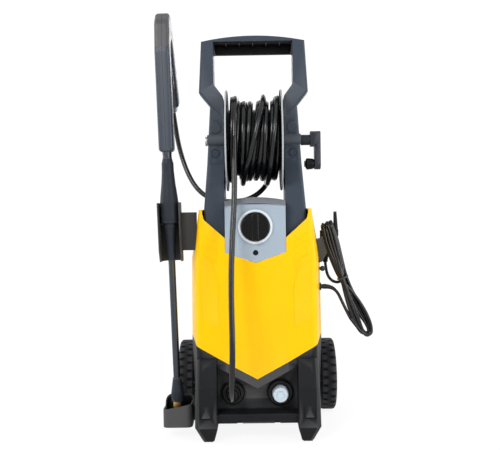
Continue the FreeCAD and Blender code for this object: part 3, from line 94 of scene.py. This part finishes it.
# ---- cords: routes repeat the CAD's, in machine millimetres -----------------------------
HOSE_D = 12.0
CORD_D = 7.0
HOSE_FRONT = [
    (-54.0, -144.3, 94.0), (-54.0, -168.0, 94.0), (-54.0, -206.0, 100.0), (-53.0, -238.0, 129.0),
    (-50.5, -250.0, 176.0), (-49.5, -246.0, 232.0), (-51.0, -233.0, 300.0), (-51.0, -215.0, 372.0),
    (-48.0, -196.0, 446.0), (-43.5, -178.0, 515.0), (-42.5, -164.0, 580.0), (-42.0, -156.8, 625.0),
    (-42.0, -156.4, 656.0),
]
HOSE_REAR = [
    (40.0, 38.3, 621.7), (40.0, 24.6, 584.0), (27.0, 15.0, 554.5), (3.3, 9.3, 532.0),
    (-27.8, 8.0, 519.8), (-61.5, 11.4, 518.5), (-95.0, 20.0, 523.0), (-124.0, 34.0, 536.0),
    (-147.0, 47.0, 560.0), (-164.5, 58.0, 592.0), (-178.0, 67.5, 629.0), (-188.0, 71.5, 669.0),
    (-193.0, 65.0, 708.5), (-195.6, 46.4, 739.4),
]
CORD_LEAD = [
    (154.3, -60.0, 321.0), (170.0, -60.0, 321.0), (185.0, -65.0, 309.0), (194.0, -74.0, 288.0),
    (203.0, -78.0, 268.0), (213.0, -74.0, 249.0),
]


def nurbs(name, route, diameter, fineness=5):
    """One open NURBS spline along machine points.

    The points' radius carries the thickness, so that the curve's own box fits the cord.
    """
    curve = bpy.data.curves.new(name, "CURVE")
    curve.dimensions = "3D"
    spline = curve.splines.new("NURBS")
    spline.points.add(len(route) - 1)
    for point, spot in zip(spline.points, route):
        point.co = (*place(*spot), 1.0)
        point.radius = diameter * MM / 2.0
    spline.order_u = 3
    spline.use_endpoint_u = True
    curve.resolution_u = 8
    curve.bevel_depth = 1.0
    curve.bevel_resolution = fineness
    curve.use_fill_caps = True
    piece = bpy.data.objects.new(name, curve)
    bpy.context.scene.collection.objects.link(piece)
    return piece


def centreline(piece):
    """Points along a curve's own line, and the line's length in metres."""
    depth = piece.data.bevel_depth
    piece.data.bevel_depth = 0.0
    bpy.context.view_layer.update()
    graph = bpy.context.evaluated_depsgraph_get()
    line = bpy.data.meshes.new_from_object(piece.evaluated_get(graph))
    points = [v.co.copy() for v in line.vertices]
    bpy.data.meshes.remove(line)
    piece.data.bevel_depth = depth
    return points, sum((b - a).length for a, b in zip(points, points[1:]))


REEL_Y, REEL_Z = -56.0, 656.0
TURN_POINTS = 18
BULGE = 1.008         # a spline of order 3 runs a little inside its control points


def reel_point(x, radius, turns):
    """Point at a number of turns from the reel's front, going up the front."""
    angle = 2.0 * math.pi * turns
    return (x, REEL_Y - BULGE * radius * math.cos(angle), REEL_Z + BULGE * radius * math.sin(angle))


def blend_stages(stages, t):
    """Values between the rows of a stage table, eased from row to row."""
    for low, high in zip(stages, stages[1:]):
        if t <= high[0]:
            share = (t - low[0]) / (high[0] - low[0])
            if high[0] - low[0] < 2.0:
                share = share * share * (3.0 - 2.0 * share)
            return [a + share * (b - a) for a, b in zip(low[1:], high[1:])]
    return list(stages[-1][1:])


WINDING_STAGES = [    # turns, x, radius: in at the front, across, back inside, out over the top
    (0.0, -42.0, 99.5), (0.12, -43.0, 99.4), (0.7, -50.0, 92.0), (1.0, -51.0, 87.2),
    (9.0, 51.0, 87.4), (9.4, 50.0, 76.3), (11.3, -50.0, 76.3), (11.8, -51.0, 89.0),
    (12.15, -46.0, 98.8), (12.75, -24.0, 99.6), (13.2, 20.0, 99.8), (13.75, 33.0, 99.2),
    (14.3, 45.0, 99.6), (14.5556, 40.0, 99.5),
]


def winding_route():
    """Whole wound hose as one loose line of turns."""
    route = []
    last = WINDING_STAGES[-1][0]
    count = round(last * TURN_POINTS)
    for i in range(count + 1):
        turns = last * i / count
        x, radius = blend_stages(WINDING_STAGES, turns)
        calm = min(1.0, turns / 0.5, (last - turns) / 0.5)
        slant = 5.0 + 4.5 * math.sin(1.37 * turns + 0.4)
        x += calm * slant * math.sin(2.0 * math.pi * turns + 0.5)
        x += calm * 1.6 * math.sin(2.3 * turns + 0.7)
        radius += calm * (1.5 * math.sin(3.7 * turns + 2.0) + 1.2 * math.sin(9.1 * turns))
        x = max(-52.3, min(52.3, x))
        route.append(reel_point(x, radius, turns))
    return route


HANK_TOP = Vector((161.0, -60.0, 470.0))
HANK_LOW = Vector((256.0, -66.0, 206.0))
HANK_BOW = 9.0
PLUG_CORD = (162.6, -22.0, 374.0)
HANK_LOOPS = 9


def hank_point(share, aside, deep):
    """Point of the hank: share of its length, millimetres across it and towards the back."""
    along = (HANK_LOW - HANK_TOP)
    length = along.length
    along.normalize()
    across = along.cross(Vector((0.0, 1.0, 0.0))).normalized()
    if across.x < 0:
        across = -across
    back = along.cross(across).normalized()
    if back.y < 0:
        back = -back
    bow = -HANK_BOW * math.sin(math.pi * share)
    return tuple(HANK_TOP + along * (share * length) + across * (aside + bow) + back * deep)


def hank_route():
    """Loops of the hank, each down its back half and up its front half, then out to the plug."""
    rng = random.Random(11)
    route = [CORD_LEAD[-1], hank_point(0.90, -15.0, -9.0), hank_point(0.955, -10.0, -9.0),
             hank_point(0.985, 1.0, -8.0), hank_point(0.955, 12.0, -7.0), hank_point(0.88, 17.0, -7.0),
             hank_point(0.76, 17.0, -8.0), hank_point(0.62, 9.0, -9.0)]
    for i in range(HANK_LOOPS):
        lane = ((i * 2) % HANK_LOOPS + 0.5) / HANK_LOOPS * 2.0 - 1.0
        reach = rng.uniform(0.0, 0.03)
        wide = 1.5 + 15.5 * ((i * 4) % HANK_LOOPS) / (HANK_LOOPS - 1)
        fold = max(wide, 9.5)
        nest = (17.0 - fold) * 0.0030
        depth_top = 10.0 + 7.0 * (i * 2 // HANK_LOOPS) * 0.8
        depth = 3.0 + 3.6 * (i % 4)
        if i:
            route += [
                hank_point(0.945 - nest, -fold * 0.85, -depth * 0.7),
                hank_point(0.80, -wide, -depth),
                hank_point(0.62, -wide * 0.62, -depth - 1.0),
            ]
        route += [
            hank_point(0.475, -4.0 + lane * 5.0, -depth),
            hank_point(0.33, lane * 12.0 - 2.0 + rng.uniform(-1.5, 1.5), -depth_top),
            hank_point(0.16, lane * 16.5 - 2.0, -depth_top),
            hank_point(0.05 + reach, lane * 14.0 - 1.0, -depth_top * 0.9),
            hank_point(0.012 + reach, lane * 12.0, -4.5),
            hank_point(0.012 + reach, lane * 12.0, 4.5),
            hank_point(0.05 + reach, lane * 14.0 + 1.0, depth_top * 0.9),
            hank_point(0.16, lane * 16.0 + 2.0, depth_top),
            hank_point(0.33, lane * 12.0 + 2.0 + rng.uniform(-1.5, 1.5), depth_top),
            hank_point(0.475, 4.0 + lane * 5.0, depth),
        ]
        if i == HANK_LOOPS - 1:
            break
        route += [
            hank_point(0.62, wide * 0.62, depth + 1.0),
            hank_point(0.80, wide, depth),
            hank_point(0.93 - nest, fold * 0.80, depth * 0.7),
            hank_point(0.985 - nest, fold * 0.6, depth * 0.2),
            hank_point(0.99 - nest, -fold * 0.4, -depth * 0.3),
        ]
    route += [(200.0, -42.0, 332.0), (187.0, -34.0, 326.0), (173.0, -27.0, 333.0), (164.5, -23.0, 350.0),
              PLUG_CORD]
    return route


# ---- materials ---------------------------------------------------------------------------
def linear(value):
    value = value / 255.0
    return value / 12.92 if value <= 0.04045 else ((value + 0.055) / 1.055) ** 2.4


def rgb(red, green, blue):
    return (linear(red), linear(green), linear(blue), 1.0)


class Graph:
    """A material's node tree, built one node at a time."""

    def __init__(self, name):
        self.material = bpy.data.materials.new(name)
        self.material.use_nodes = True
        self.tree = self.material.node_tree
        self.shader = self.tree.nodes["Principled BSDF"]
        coordinates = self.add("ShaderNodeTexCoord")
        self.place = coordinates.outputs["Object"]

    def add(self, kind, **values):
        node = self.tree.nodes.new(kind)
        for key, value in values.items():
            setattr(node, key, value)
        return node

    def link(self, start, end):
        self.tree.links.new(start, end)

    def stretched(self, scale):
        mapping = self.add("ShaderNodeMapping")
        mapping.inputs["Scale"].default_value = scale
        self.link(self.place, mapping.inputs["Vector"])
        return mapping.outputs["Vector"]

    def noise(self, scale, detail=3.0, vector=None):
        node = self.add("ShaderNodeTexNoise")
        node.inputs["Scale"].default_value = scale
        node.inputs["Detail"].default_value = detail
        self.link(vector or self.place, node.inputs["Vector"])
        return node.outputs["Fac"]

    def spread(self, value, low, high, start=0.3, end=0.7):
        node = self.add("ShaderNodeMapRange")
        node.inputs["From Min"].default_value = start
        node.inputs["From Max"].default_value = end
        node.inputs["To Min"].default_value = low
        node.inputs["To Max"].default_value = high
        self.link(value, node.inputs["Value"])
        return node.outputs["Result"]

    def mix(self, factor, first, second):
        node = self.add("ShaderNodeMix", data_type="RGBA")
        sockets = [s for s in node.inputs if s.type == "RGBA"]
        for socket, value in zip(sockets, (first, second)):
            if isinstance(value, tuple):
                socket.default_value = value
            else:
                self.link(value, socket)
        self.link(factor, node.inputs["Factor"])
        return [s for s in node.outputs if s.type == "RGBA"][0]

    def bump(self, height, strength, distance):
        node = self.add("ShaderNodeBump")
        node.inputs["Strength"].default_value = strength
        node.inputs["Distance"].default_value = distance
        self.link(height, node.inputs["Height"])
        self.link(node.outputs["Normal"], self.shader.inputs["Normal"])
        return node

    def edges(self):
        """1 on worn outer edges, 0 elsewhere."""
        geometry = self.add("ShaderNodeNewGeometry")
        return self.spread(geometry.outputs["Pointiness"], 0.0, 1.0, 0.53, 0.60)

    def finish(self, colour, roughness, metallic=0.0, coat=0.0, specular=0.5):
        self.link(colour, self.shader.inputs["Base Color"])
        self.link(roughness, self.shader.inputs["Roughness"])
        self.shader.inputs["Metallic"].default_value = metallic
        self.shader.inputs["Coat Weight"].default_value = coat
        self.shader.inputs["Specular IOR Level"].default_value = specular
        return self.material


def shade(colour, factor):
    return tuple(min(1.0, c * factor) for c in colour[:3]) + (1.0,)


def moulded(name, colour, rough, grain=0.12, grain_scale=1500.0, mottle=0.05, wear=0.25, coat=0.0,
            specular=0.15, relief=False, upper=None):
    """Moulded plastic: fine spark-eroded grain, faint mottling and paler worn edges."""
    g = Graph(name)
    soft = g.spread(g.noise(14.0, 4.0), 0.0, 1.0)
    base = g.mix(soft, shade(colour, 1.0 - mottle), shade(colour, 1.0 + mottle))
    dust = g.spread(g.noise(90.0, 6.0), 0.0, 0.10, 0.55, 0.75)
    base = g.mix(dust, base, shade(colour, 1.25))
    scuffed = g.add("ShaderNodeMath", operation="MULTIPLY")
    g.link(g.edges(), scuffed.inputs[0])
    scuffed.inputs[1].default_value = wear
    pale = tuple(0.6 * c + 0.4 * 0.55 for c in colour[:3]) + (1.0,)
    base = g.mix(scuffed.outputs[0], base, pale)
    roughness = g.spread(g.noise(55.0, 5.0), rough - 0.06, rough + 0.07)
    if upper:
        height = g.add("ShaderNodeSeparateXYZ")
        g.link(g.place, height.inputs[0])
        base = g.mix(g.spread(height.outputs["Z"], 0.0, 1.0, 0.858, 0.861), base, upper)
    fine = g.bump(g.noise(grain_scale, 2.0), grain, 0.0004)
    if relief:
        shoulder_relief(g, fine)
    return g.finish(base, roughness, coat=coat, specular=specular)


def shoulder_relief(g, fine):
    """Shallow slanting panels moulded into both shoulders of the cover, with three ribs each."""
    parts = g.add("ShaderNodeSeparateXYZ")
    g.link(g.place, parts.inputs[0])

    def sum_up(operation, first, second):
        node = g.add("ShaderNodeMath", operation=operation)
        for socket, value in zip(node.inputs, (first, second)):
            if isinstance(value, float):
                socket.default_value = value
            else:
                g.link(value, socket)
        return node.outputs[0]

    side = sum_up("ABSOLUTE", sum_up("SUBTRACT", parts.outputs["X"], MID_X), 0.0)
    level = sum_up("SUBTRACT", parts.outputs["Z"], sum_up("MULTIPLY", side, 0.62))
    across = sum_up("SUBTRACT", 0.021, sum_up("ABSOLUTE", sum_up("SUBTRACT", side, 0.104), 0.0))
    tall = sum_up("SUBTRACT", 0.033, sum_up("ABSOLUTE", sum_up("SUBTRACT", level, 0.345), 0.0))
    inside = g.spread(sum_up("MINIMUM", across, tall), 0.0, 1.0, 0.0, 0.0016)
    stripe = sum_up("ABSOLUTE", sum_up("SINE", sum_up("MULTIPLY", level, 190.0), 0.0), 0.0)
    height = sum_up("MULTIPLY", inside, g.spread(stripe, 0.6, 1.0, 0.1, 0.5))
    bump = g.add("ShaderNodeBump")
    bump.inputs["Strength"].default_value = 0.55
    bump.inputs["Distance"].default_value = 0.0016
    g.link(height, bump.inputs["Height"])
    g.link(fine.outputs["Normal"], bump.inputs["Normal"])
    g.link(bump.outputs["Normal"], g.shader.inputs["Normal"])


def metal(name, colour, rough, stretch=(600.0, 600.0, 12.0), depth=0.15):
    """Drawn or turned metal: fine lines along one way, uneven shine."""
    g = Graph(name)
    lines = g.noise(1.0, 3.0, g.stretched(stretch))
    base = g.mix(g.spread(lines, 0.0, 1.0), shade(colour, 0.85), shade(colour, 1.08))
    roughness = g.spread(g.noise(40.0, 4.0), rough - 0.08, rough + 0.12)
    g.bump(lines, depth, 0.0003)
    return g.finish(base, roughness, metallic=1.0)


def rubber_hose(name, colour, rough, ribs=900.0):
    """Extruded rubber or PVC: faint wrap marks and scuffs."""
    g = Graph(name)
    base = g.mix(g.spread(g.noise(60.0, 5.0), 0.0, 1.0), shade(colour, 0.8), shade(colour, 1.5))
    scuff = g.spread(g.noise(230.0, 6.0), 0.0, 0.15, 0.62, 0.8)
    base = g.mix(scuff, base, rgb(70, 70, 72))
    roughness = g.spread(g.noise(130.0, 4.0), rough - 0.08, rough + 0.1)
    g.bump(g.noise(ribs, 2.0), 0.05, 0.0002)
    return g.finish(base, roughness, specular=0.4)


def flange_material():
    """Reel flange: mid-grey disc with a painted highlight, a pale band of colour around its rim."""
    g = Graph("reel_flange")
    offset = g.add("ShaderNodeMapping")
    offset.inputs["Location"].default_value = (0.0, -REEL_Y * MM, -REEL_Z * MM)
    offset.inputs["Scale"].default_value = (0.0, 1.0, 1.0)
    g.link(g.place, offset.inputs["Vector"])
    length = g.add("ShaderNodeVectorMath", operation="LENGTH")
    g.link(offset.outputs["Vector"], length.inputs[0])
    # painted highlight: past about 112 mm from the reel axle the disc turns pale grey, standing in for
    # light caught on the rim
    painted_rim_highlight = g.spread(length.outputs["Value"], 0.0, 1.0, 0.1122, 0.1134)
    face = g.mix(g.spread(g.noise(25.0, 4.0), 0.0, 1.0), rgb(38, 41, 45), rgb(52, 56, 61))
    base = g.mix(painted_rim_highlight, face, rgb(176, 180, 184))
    g.bump(g.noise(1300.0, 2.0), 0.12, 0.0003)
    return g.finish(base, g.spread(g.noise(60.0, 4.0), 0.5, 0.65), specular=0.03)


YELLOW = rgb(254, 197, 0)
FRAME_GREY = rgb(58, 66, 77)
CHASSIS_GREY = rgb(23, 24, 27)
SILVER = rgb(160, 174, 187)
BLACK = rgb(9, 9, 11)


def dress_nodes():
    """Material of every carried-over CAD node."""
    yellow = moulded("yellow_gloss", YELLOW, 0.40, 0.05, 1100.0, 0.02, 0.06, coat=0.0,
                    specular=0.12, relief=True)
    chassis = moulded("chassis_grey", CHASSIS_GREY, 0.52, 0.22, 1200.0, 0.06, 0.3)
    rear = moulded("rear_grey", rgb(20, 21, 24), 0.55, 0.22, 1200.0, 0.06, 0.3)
    frame_grey = moulded("frame_grey", FRAME_GREY, 0.44, 0.14, 1500.0, 0.04, 0.22)
    gun_grey = moulded("gun_grey", rgb(48, 56, 68), 0.38, 0.14, 1500.0, 0.05, 0.2, specular=0.4,
                       upper=rgb(72, 71, 73))
    sleeve_grey = moulded("sleeve_grey", rgb(42, 46, 53), 0.45, 0.14, 1500.0, 0.05, 0.25)
    silver = moulded("panel_silver", SILVER, 0.34, 0.05, 2500.0, 0.03, 0.15, coat=0.3)
    black = moulded("black_satin", BLACK, 0.42, 0.12, 1300.0, 0.08, 0.2)
    gloss_black = moulded("black_gloss", rgb(5, 5, 7), 0.22, 0.03, 900.0, 0.08, 0.06, coat=0.05)
    white = moulded("ring_white", rgb(226, 231, 236), 0.4, 0.05, 1500.0, 0.02, 0.0)
    pale_blue = moulded("adaptor_pale", rgb(205, 219, 230), 0.35, 0.08, 900.0, 0.04, 0.1, coat=0.2)
    latch = moulded("latch_yellow", rgb(250, 200, 30), 0.35, 0.05, 1200.0, 0.03, 0.2)
    tyre = moulded("tyre_rubber", rgb(30, 31, 34), 0.72, 0.5, 700.0, 0.12, 0.35)
    hub = moulded("hub_grey", rgb(38, 39, 43), 0.5, 0.2, 1200.0, 0.06, 0.3)
    steel = metal("turned_steel", rgb(176, 178, 182), 0.32)
    tube = metal("lance_steel", rgb(70, 73, 79), 0.38)
    brass = metal("brass", rgb(196, 156, 92), 0.3)
    cast = metal("cast_aluminium", rgb(165, 167, 170), 0.5, (300.0, 300.0, 300.0), 0.4)
    inlet = metal("gun_inlet", rgb(178, 180, 184), 0.42)
    clear = moulded("tie_clear", rgb(64, 65, 68), 0.3, 0.03, 800.0, 0.03, 0.0)
    rubber = rubber_hose("gland_rubber", rgb(26, 26, 28), 0.5)
    dressing = {
        yellow: ["front_cover"],
        chassis: ["chassis", "nozzle_cup", "cord_hook"],
        rear: ["rear_cover", "lance_clip"],
        frame_grey: ["left_upright", "right_upright", "upright_caps", "handle_frame", "storage_peg"],
        gun_grey: ["gun_shell_left", "gun_shell_right"],
        sleeve_grey: ["lance_sleeve", "nozzle_sleeve", "crank_arm"],
        silver: ["control_panel"],
        black: ["handle_grip", "crank_grip", "trigger", "outlet_collar", "inlet_collar", "hose_nut",
                "switch_body", "clip_bracket", "plug", "reel_drum"],
        gloss_black: ["selector_knob", "indicator_lens"],
        white: ["dial_ring"],
        pale_blue: ["inlet_adaptor"],
        latch: ["safety_latch"],
        tyre: ["left_tyre", "right_tyre", "foot_pads"],
        hub: ["left_wheel", "right_wheel"],
        steel: ["reel_axle", "wheel_axle", "cover_screws", "handle_screws"],
        tube: ["lance_tube"],
        brass: ["nozzle_tip", "outlet_fitting", "water_pipes"],
        cast: ["pump_body", "motor_stator", "motor_rotor", "capacitor"],
        inlet: ["gun_valve"],
        clear: ["cord_tie"],
        rubber: ["cord_gland"],
        flange_material(): ["reel_flange_left", "reel_flange_right"],
    }
    for material, names in dressing.items():
        for name in names:
            set_material(NODES[name], material)


def set_material(piece, material):
    data = piece.data
    if len(data.materials) == 0:
        data.materials.append(material)
    for slot in piece.material_slots:
        slot.material = material


# ---- cords: pieces -----------------------------------------------------------------------
def make_cords():
    hose = rubber_hose("hose_rubber", rgb(11, 12, 14), 0.2)
    cord_skin = rubber_hose("cord_pvc", rgb(8, 8, 10), 0.18, 1400.0)

    front = nurbs("hose_front_tail", HOSE_FRONT, HOSE_D)
    set_material(front, hose)
    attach(front, "root")
    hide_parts("hose_front")
    length = centreline(front)[1]

    turns = winding_route()
    wound = nurbs("hose_wound", turns, HOSE_D, 4)
    wound.data.resolution_u = 3
    set_material(wound, hose)
    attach(wound, "reel")
    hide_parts("hose_winding")
    length = centreline(wound)[1]

    route = nurbs("hose_rear_route", HOSE_REAR, HOSE_D)
    points, length = centreline(route)
    graph = bpy.context.evaluated_depsgraph_get()
    mesh = bpy.data.meshes.new_from_object(route.evaluated_get(graph))
    rear = bpy.data.objects.new("hose_rear_tail", mesh)
    bpy.context.scene.collection.objects.link(rear)
    bpy.data.objects.remove(route)
    smooth(rear)
    set_material(rear, hose)
    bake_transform(rear)
    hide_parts("hose_rear")

    lead = nurbs("mains_lead", CORD_LEAD, CORD_D)
    set_material(lead, cord_skin)
    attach(lead, "root")
    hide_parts("cord_lead")
    length = centreline(lead)[1]

    hank = nurbs("mains_hank", hank_route(), CORD_D, 4)
    hank.data.resolution_u = 8
    set_material(hank, cord_skin)
    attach(hank, "root")
    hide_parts("cord_hank")
    length = centreline(hank)[1]


def swept(name, centres, radii, sides=24):
    """Closed tube of changing radius through the given points, in metres."""
    mesh = bmesh.new()
    rings = []
    side = Vector((0.0, 1.0, 0.0))
    for i, (centre, radius) in enumerate(zip(centres, radii)):
        ahead = centres[min(i + 1, len(centres) - 1)] - centres[max(i - 1, 0)]
        ahead.normalize()
        side = (side - ahead * side.dot(ahead)).normalized()
        other = ahead.cross(side)
        rings.append([mesh.verts.new(centre + radius * (side * math.cos(2 * math.pi * k / sides)
                                                        + other * math.sin(2 * math.pi * k / sides)))
                      for k in range(sides)])
    for low, high in zip(rings, rings[1:]):
        for k in range(sides):
            mesh.faces.new((low[k], low[(k + 1) % sides], high[(k + 1) % sides], high[k]))
    mesh.faces.new(list(reversed(rings[0])))
    mesh.faces.new(rings[-1])
    bmesh.ops.recalc_face_normals(mesh, faces=mesh.faces)
    data = bpy.data.meshes.new(name)
    mesh.to_mesh(data)
    mesh.free()
    piece = bpy.data.objects.new(name, data)
    bpy.context.scene.collection.objects.link(piece)
    smooth(piece)
    return piece


LIP_HALF = 65.6
LIP_TOP = 526.0
LIP_TOP_DROP = 7.0
LIP_FRONT_LOW = 512.2
LIP_FRONT_DROP = 4.5
LIP_STEPS = 32


def make_panel_lip():
    """Arched lip over the control panel, its front edge hanging lower at both ends."""
    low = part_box("top_cap")[0][2] / MM
    mesh = bmesh.new()
    rows = []
    for i in range(LIP_STEPS + 1):
        x = -LIP_HALF + 2.0 * LIP_HALF * i / LIP_STEPS
        drop = (x / LIP_HALF) ** 2
        top = LIP_TOP - LIP_TOP_DROP * drop
        under = LIP_FRONT_LOW - LIP_FRONT_DROP * drop
        outline = [(-155.5, under), (-155.5, top - 4.0), (-154.2, top - 1.9), (-151.5, top - 0.9),
                   (-120.0, top), (-100.0, top - 3.2), (-88.0, low), (-128.0, low),
                   (-130.0, LIP_FRONT_LOW), (-152.3, LIP_FRONT_LOW), (-152.3, under)]
        rows.append([mesh.verts.new(place(x, y, z)) for y, z in outline])
    count = len(rows[0])
    for first, second in zip(rows, rows[1:]):
        for k in range(count):
            corners = (first[k], first[(k + 1) % count], second[(k + 1) % count], second[k])
            if len({v.co.to_tuple(6) for v in corners}) > 2:
                mesh.faces.new(corners)
    mesh.faces.new(rows[0])
    mesh.faces.new(list(reversed(rows[-1])))
    bmesh.ops.remove_doubles(mesh, verts=mesh.verts, dist=0.00001)
    bmesh.ops.recalc_face_normals(mesh, faces=mesh.faces)
    data = bpy.data.meshes.new("panel_lip")
    mesh.to_mesh(data)
    mesh.free()
    piece = bpy.data.objects.new("panel_lip", data)
    bpy.context.scene.collection.objects.link(piece)
    set_material(piece, moulded("lip_grey", rgb(92, 97, 104), 0.34, 0.05, 2200.0, 0.05, 0.3,
                                specular=0.5))
    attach(piece, "root")
    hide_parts("top_cap")


RELIEF_LENGTH = 28.0
RELIEF_ROOT_R = 6.2
RELIEF_TAPER = 2.2
RELIEF_RIB = 1.8
RELIEF_GROOVE = 0.6


def make_strain_relief():
    """Ribbed, tapering sleeve where the mains cord leaves the cover."""
    route = nurbs("relief_route", CORD_LEAD, CORD_D)
    points = [Vector(p) for p in centreline(route)[0]]
    bpy.data.objects.remove(route)
    reach = 0.0
    centres, radii = [], []
    last = points[0]
    for low, high in zip(points, points[1:]):
        for k in range(4):
            spot = low.lerp(high, k / 4.0)
            reach += (spot - last).length / MM
            last = spot
            if reach > RELIEF_LENGTH:
                break
            groove = RELIEF_GROOVE * (int(reach / RELIEF_RIB) % 2)
            centres.append(spot)
            radii.append((RELIEF_ROOT_R - RELIEF_TAPER * reach / RELIEF_LENGTH - groove) * MM)
        if reach > RELIEF_LENGTH:
            break
    piece = swept("strain_relief", centres, radii)
    set_material(piece, rubber_hose("relief_rubber", rgb(16, 16, 18), 0.5))
    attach(piece, "root")


def smooth(piece):
    for face in piece.data.polygons:
        face.use_smooth = True


# ---- stage -------------------------------------------------------------------------------
def white_when_seen(tree):
    """1 for rays from the camera, off gloss or through glass, else 0."""
    path = tree.nodes.new("ShaderNodeLightPath")
    top = tree.nodes.new("ShaderNodeMath")
    top.operation = "MAXIMUM"
    tree.links.new(path.outputs["Is Camera Ray"], top.inputs[0])
    tree.links.new(path.outputs["Is Glossy Ray"], top.inputs[1])
    every = tree.nodes.new("ShaderNodeMath")
    every.operation = "MAXIMUM"
    tree.links.new(top.outputs[0], every.inputs[0])
    tree.links.new(path.outputs["Is Transmission Ray"], every.inputs[1])
    return every.outputs[0]


FLOOR_HALF = 6.0
FLOOR_DROP = 0.0004
FLOOR_SHADOWED = 0.55
FLOOR_PLAIN = 1.6


def make_stage():
    """White surroundings and a pale floor that turns plain white away from the machine."""
    world = bpy.data.worlds.new("world")
    bpy.context.scene.world = world
    world.use_nodes = True
    tree = world.node_tree
    ambient = tree.nodes["Background"]
    ambient.inputs["Color"].default_value = (1.0, 1.0, 1.0, 1.0)
    ambient.inputs["Strength"].default_value = 0.34
    seen = tree.nodes.new("ShaderNodeBackground")
    seen.inputs["Color"].default_value = (1.0, 1.0, 1.0, 1.0)
    seen.inputs["Strength"].default_value = 1.05
    mixer = tree.nodes.new("ShaderNodeMixShader")
    tree.links.new(white_when_seen(tree), mixer.inputs["Fac"])
    tree.links.new(ambient.outputs[0], mixer.inputs[1])
    tree.links.new(seen.outputs[0], mixer.inputs[2])
    tree.links.new(mixer.outputs[0], tree.nodes["World Output"].inputs["Surface"])

    mesh = bpy.data.meshes.new("floor")
    half = FLOOR_HALF
    mesh.from_pydata([(-half, -half, 0), (half, -half, 0), (half, half, 0), (-half, half, 0)], [],
                     [(0, 1, 2, 3)])
    floor = bpy.data.objects.new("floor", mesh)
    bpy.context.scene.collection.objects.link(floor)
    floor.location.z = -FLOOR_DROP
    material = bpy.data.materials.new("floor_white")
    material.use_nodes = True
    tree = material.node_tree
    surface = tree.nodes["Principled BSDF"]
    surface.inputs["Base Color"].default_value = (0.9, 0.9, 0.9, 1.0)
    surface.inputs["Roughness"].default_value = 0.9
    glow = tree.nodes.new("ShaderNodeEmission")
    glow.inputs["Color"].default_value = (1.0, 1.0, 1.0, 1.0)
    glow.inputs["Strength"].default_value = 1.06
    mixer = tree.nodes.new("ShaderNodeMixShader")
    coordinates = tree.nodes.new("ShaderNodeTexCoord")
    reach = tree.nodes.new("ShaderNodeVectorMath")
    reach.operation = "LENGTH"
    tree.links.new(coordinates.outputs["Object"], reach.inputs[0])
    fade = tree.nodes.new("ShaderNodeMapRange")
    fade.inputs["From Min"].default_value = FLOOR_SHADOWED
    fade.inputs["From Max"].default_value = FLOOR_PLAIN
    fade.inputs["To Min"].default_value = 0.84
    fade.inputs["To Max"].default_value = 1.0
    tree.links.new(reach.outputs["Value"], fade.inputs["Value"])
    shown = tree.nodes.new("ShaderNodeMath")
    shown.operation = "MULTIPLY"
    tree.links.new(white_when_seen(tree), shown.inputs[0])
    tree.links.new(fade.outputs["Result"], shown.inputs[1])
    tree.links.new(shown.outputs[0], mixer.inputs["Fac"])
    tree.links.new(surface.outputs[0], mixer.inputs[1])
    tree.links.new(glow.outputs[0], mixer.inputs[2])
    tree.links.new(mixer.outputs[0], tree.nodes["Material Output"].inputs["Surface"])
    mesh.materials.append(material)


def area_light(name, spot, target, size, watts):
    data = bpy.data.lights.new(name, "AREA")
    data.shape = "RECTANGLE"
    data.size, data.size_y = size
    data.energy = watts
    lamp = bpy.data.objects.new(name, data)
    bpy.context.scene.collection.objects.link(lamp)
    lamp.location = Vector(spot)
    lamp.rotation_euler = (Vector(target) - Vector(spot)).to_track_quat("-Z", "Y").to_euler()


def make_lights():
    area_light("key", (-1.3, -2.3, 2.1), (0.0, 0.0, 0.45), (1.0, 1.0), 46.0)
    area_light("fill", (1.7, -2.0, 1.2), (0.0, 0.0, 0.45), (0.7, 1.8), 26.0)
    area_light("left_strip", (-1.9, 0.1, 1.0), (0.0, 0.0, 0.5), (0.4, 2.0), 16.0)
    area_light("right_strip", (1.9, 0.1, 1.0), (0.0, 0.0, 0.5), (0.4, 2.0), 16.0)
    area_light("back", (0.3, 2.3, 1.8), (0.0, 0.0, 0.5), (1.6, 1.2), 16.0)


make_cords()
make_strain_relief()
make_panel_lip()
dress_nodes()
make_stage()
make_lights()
bpy.context.scene.view_settings.view_transform = "Standard"
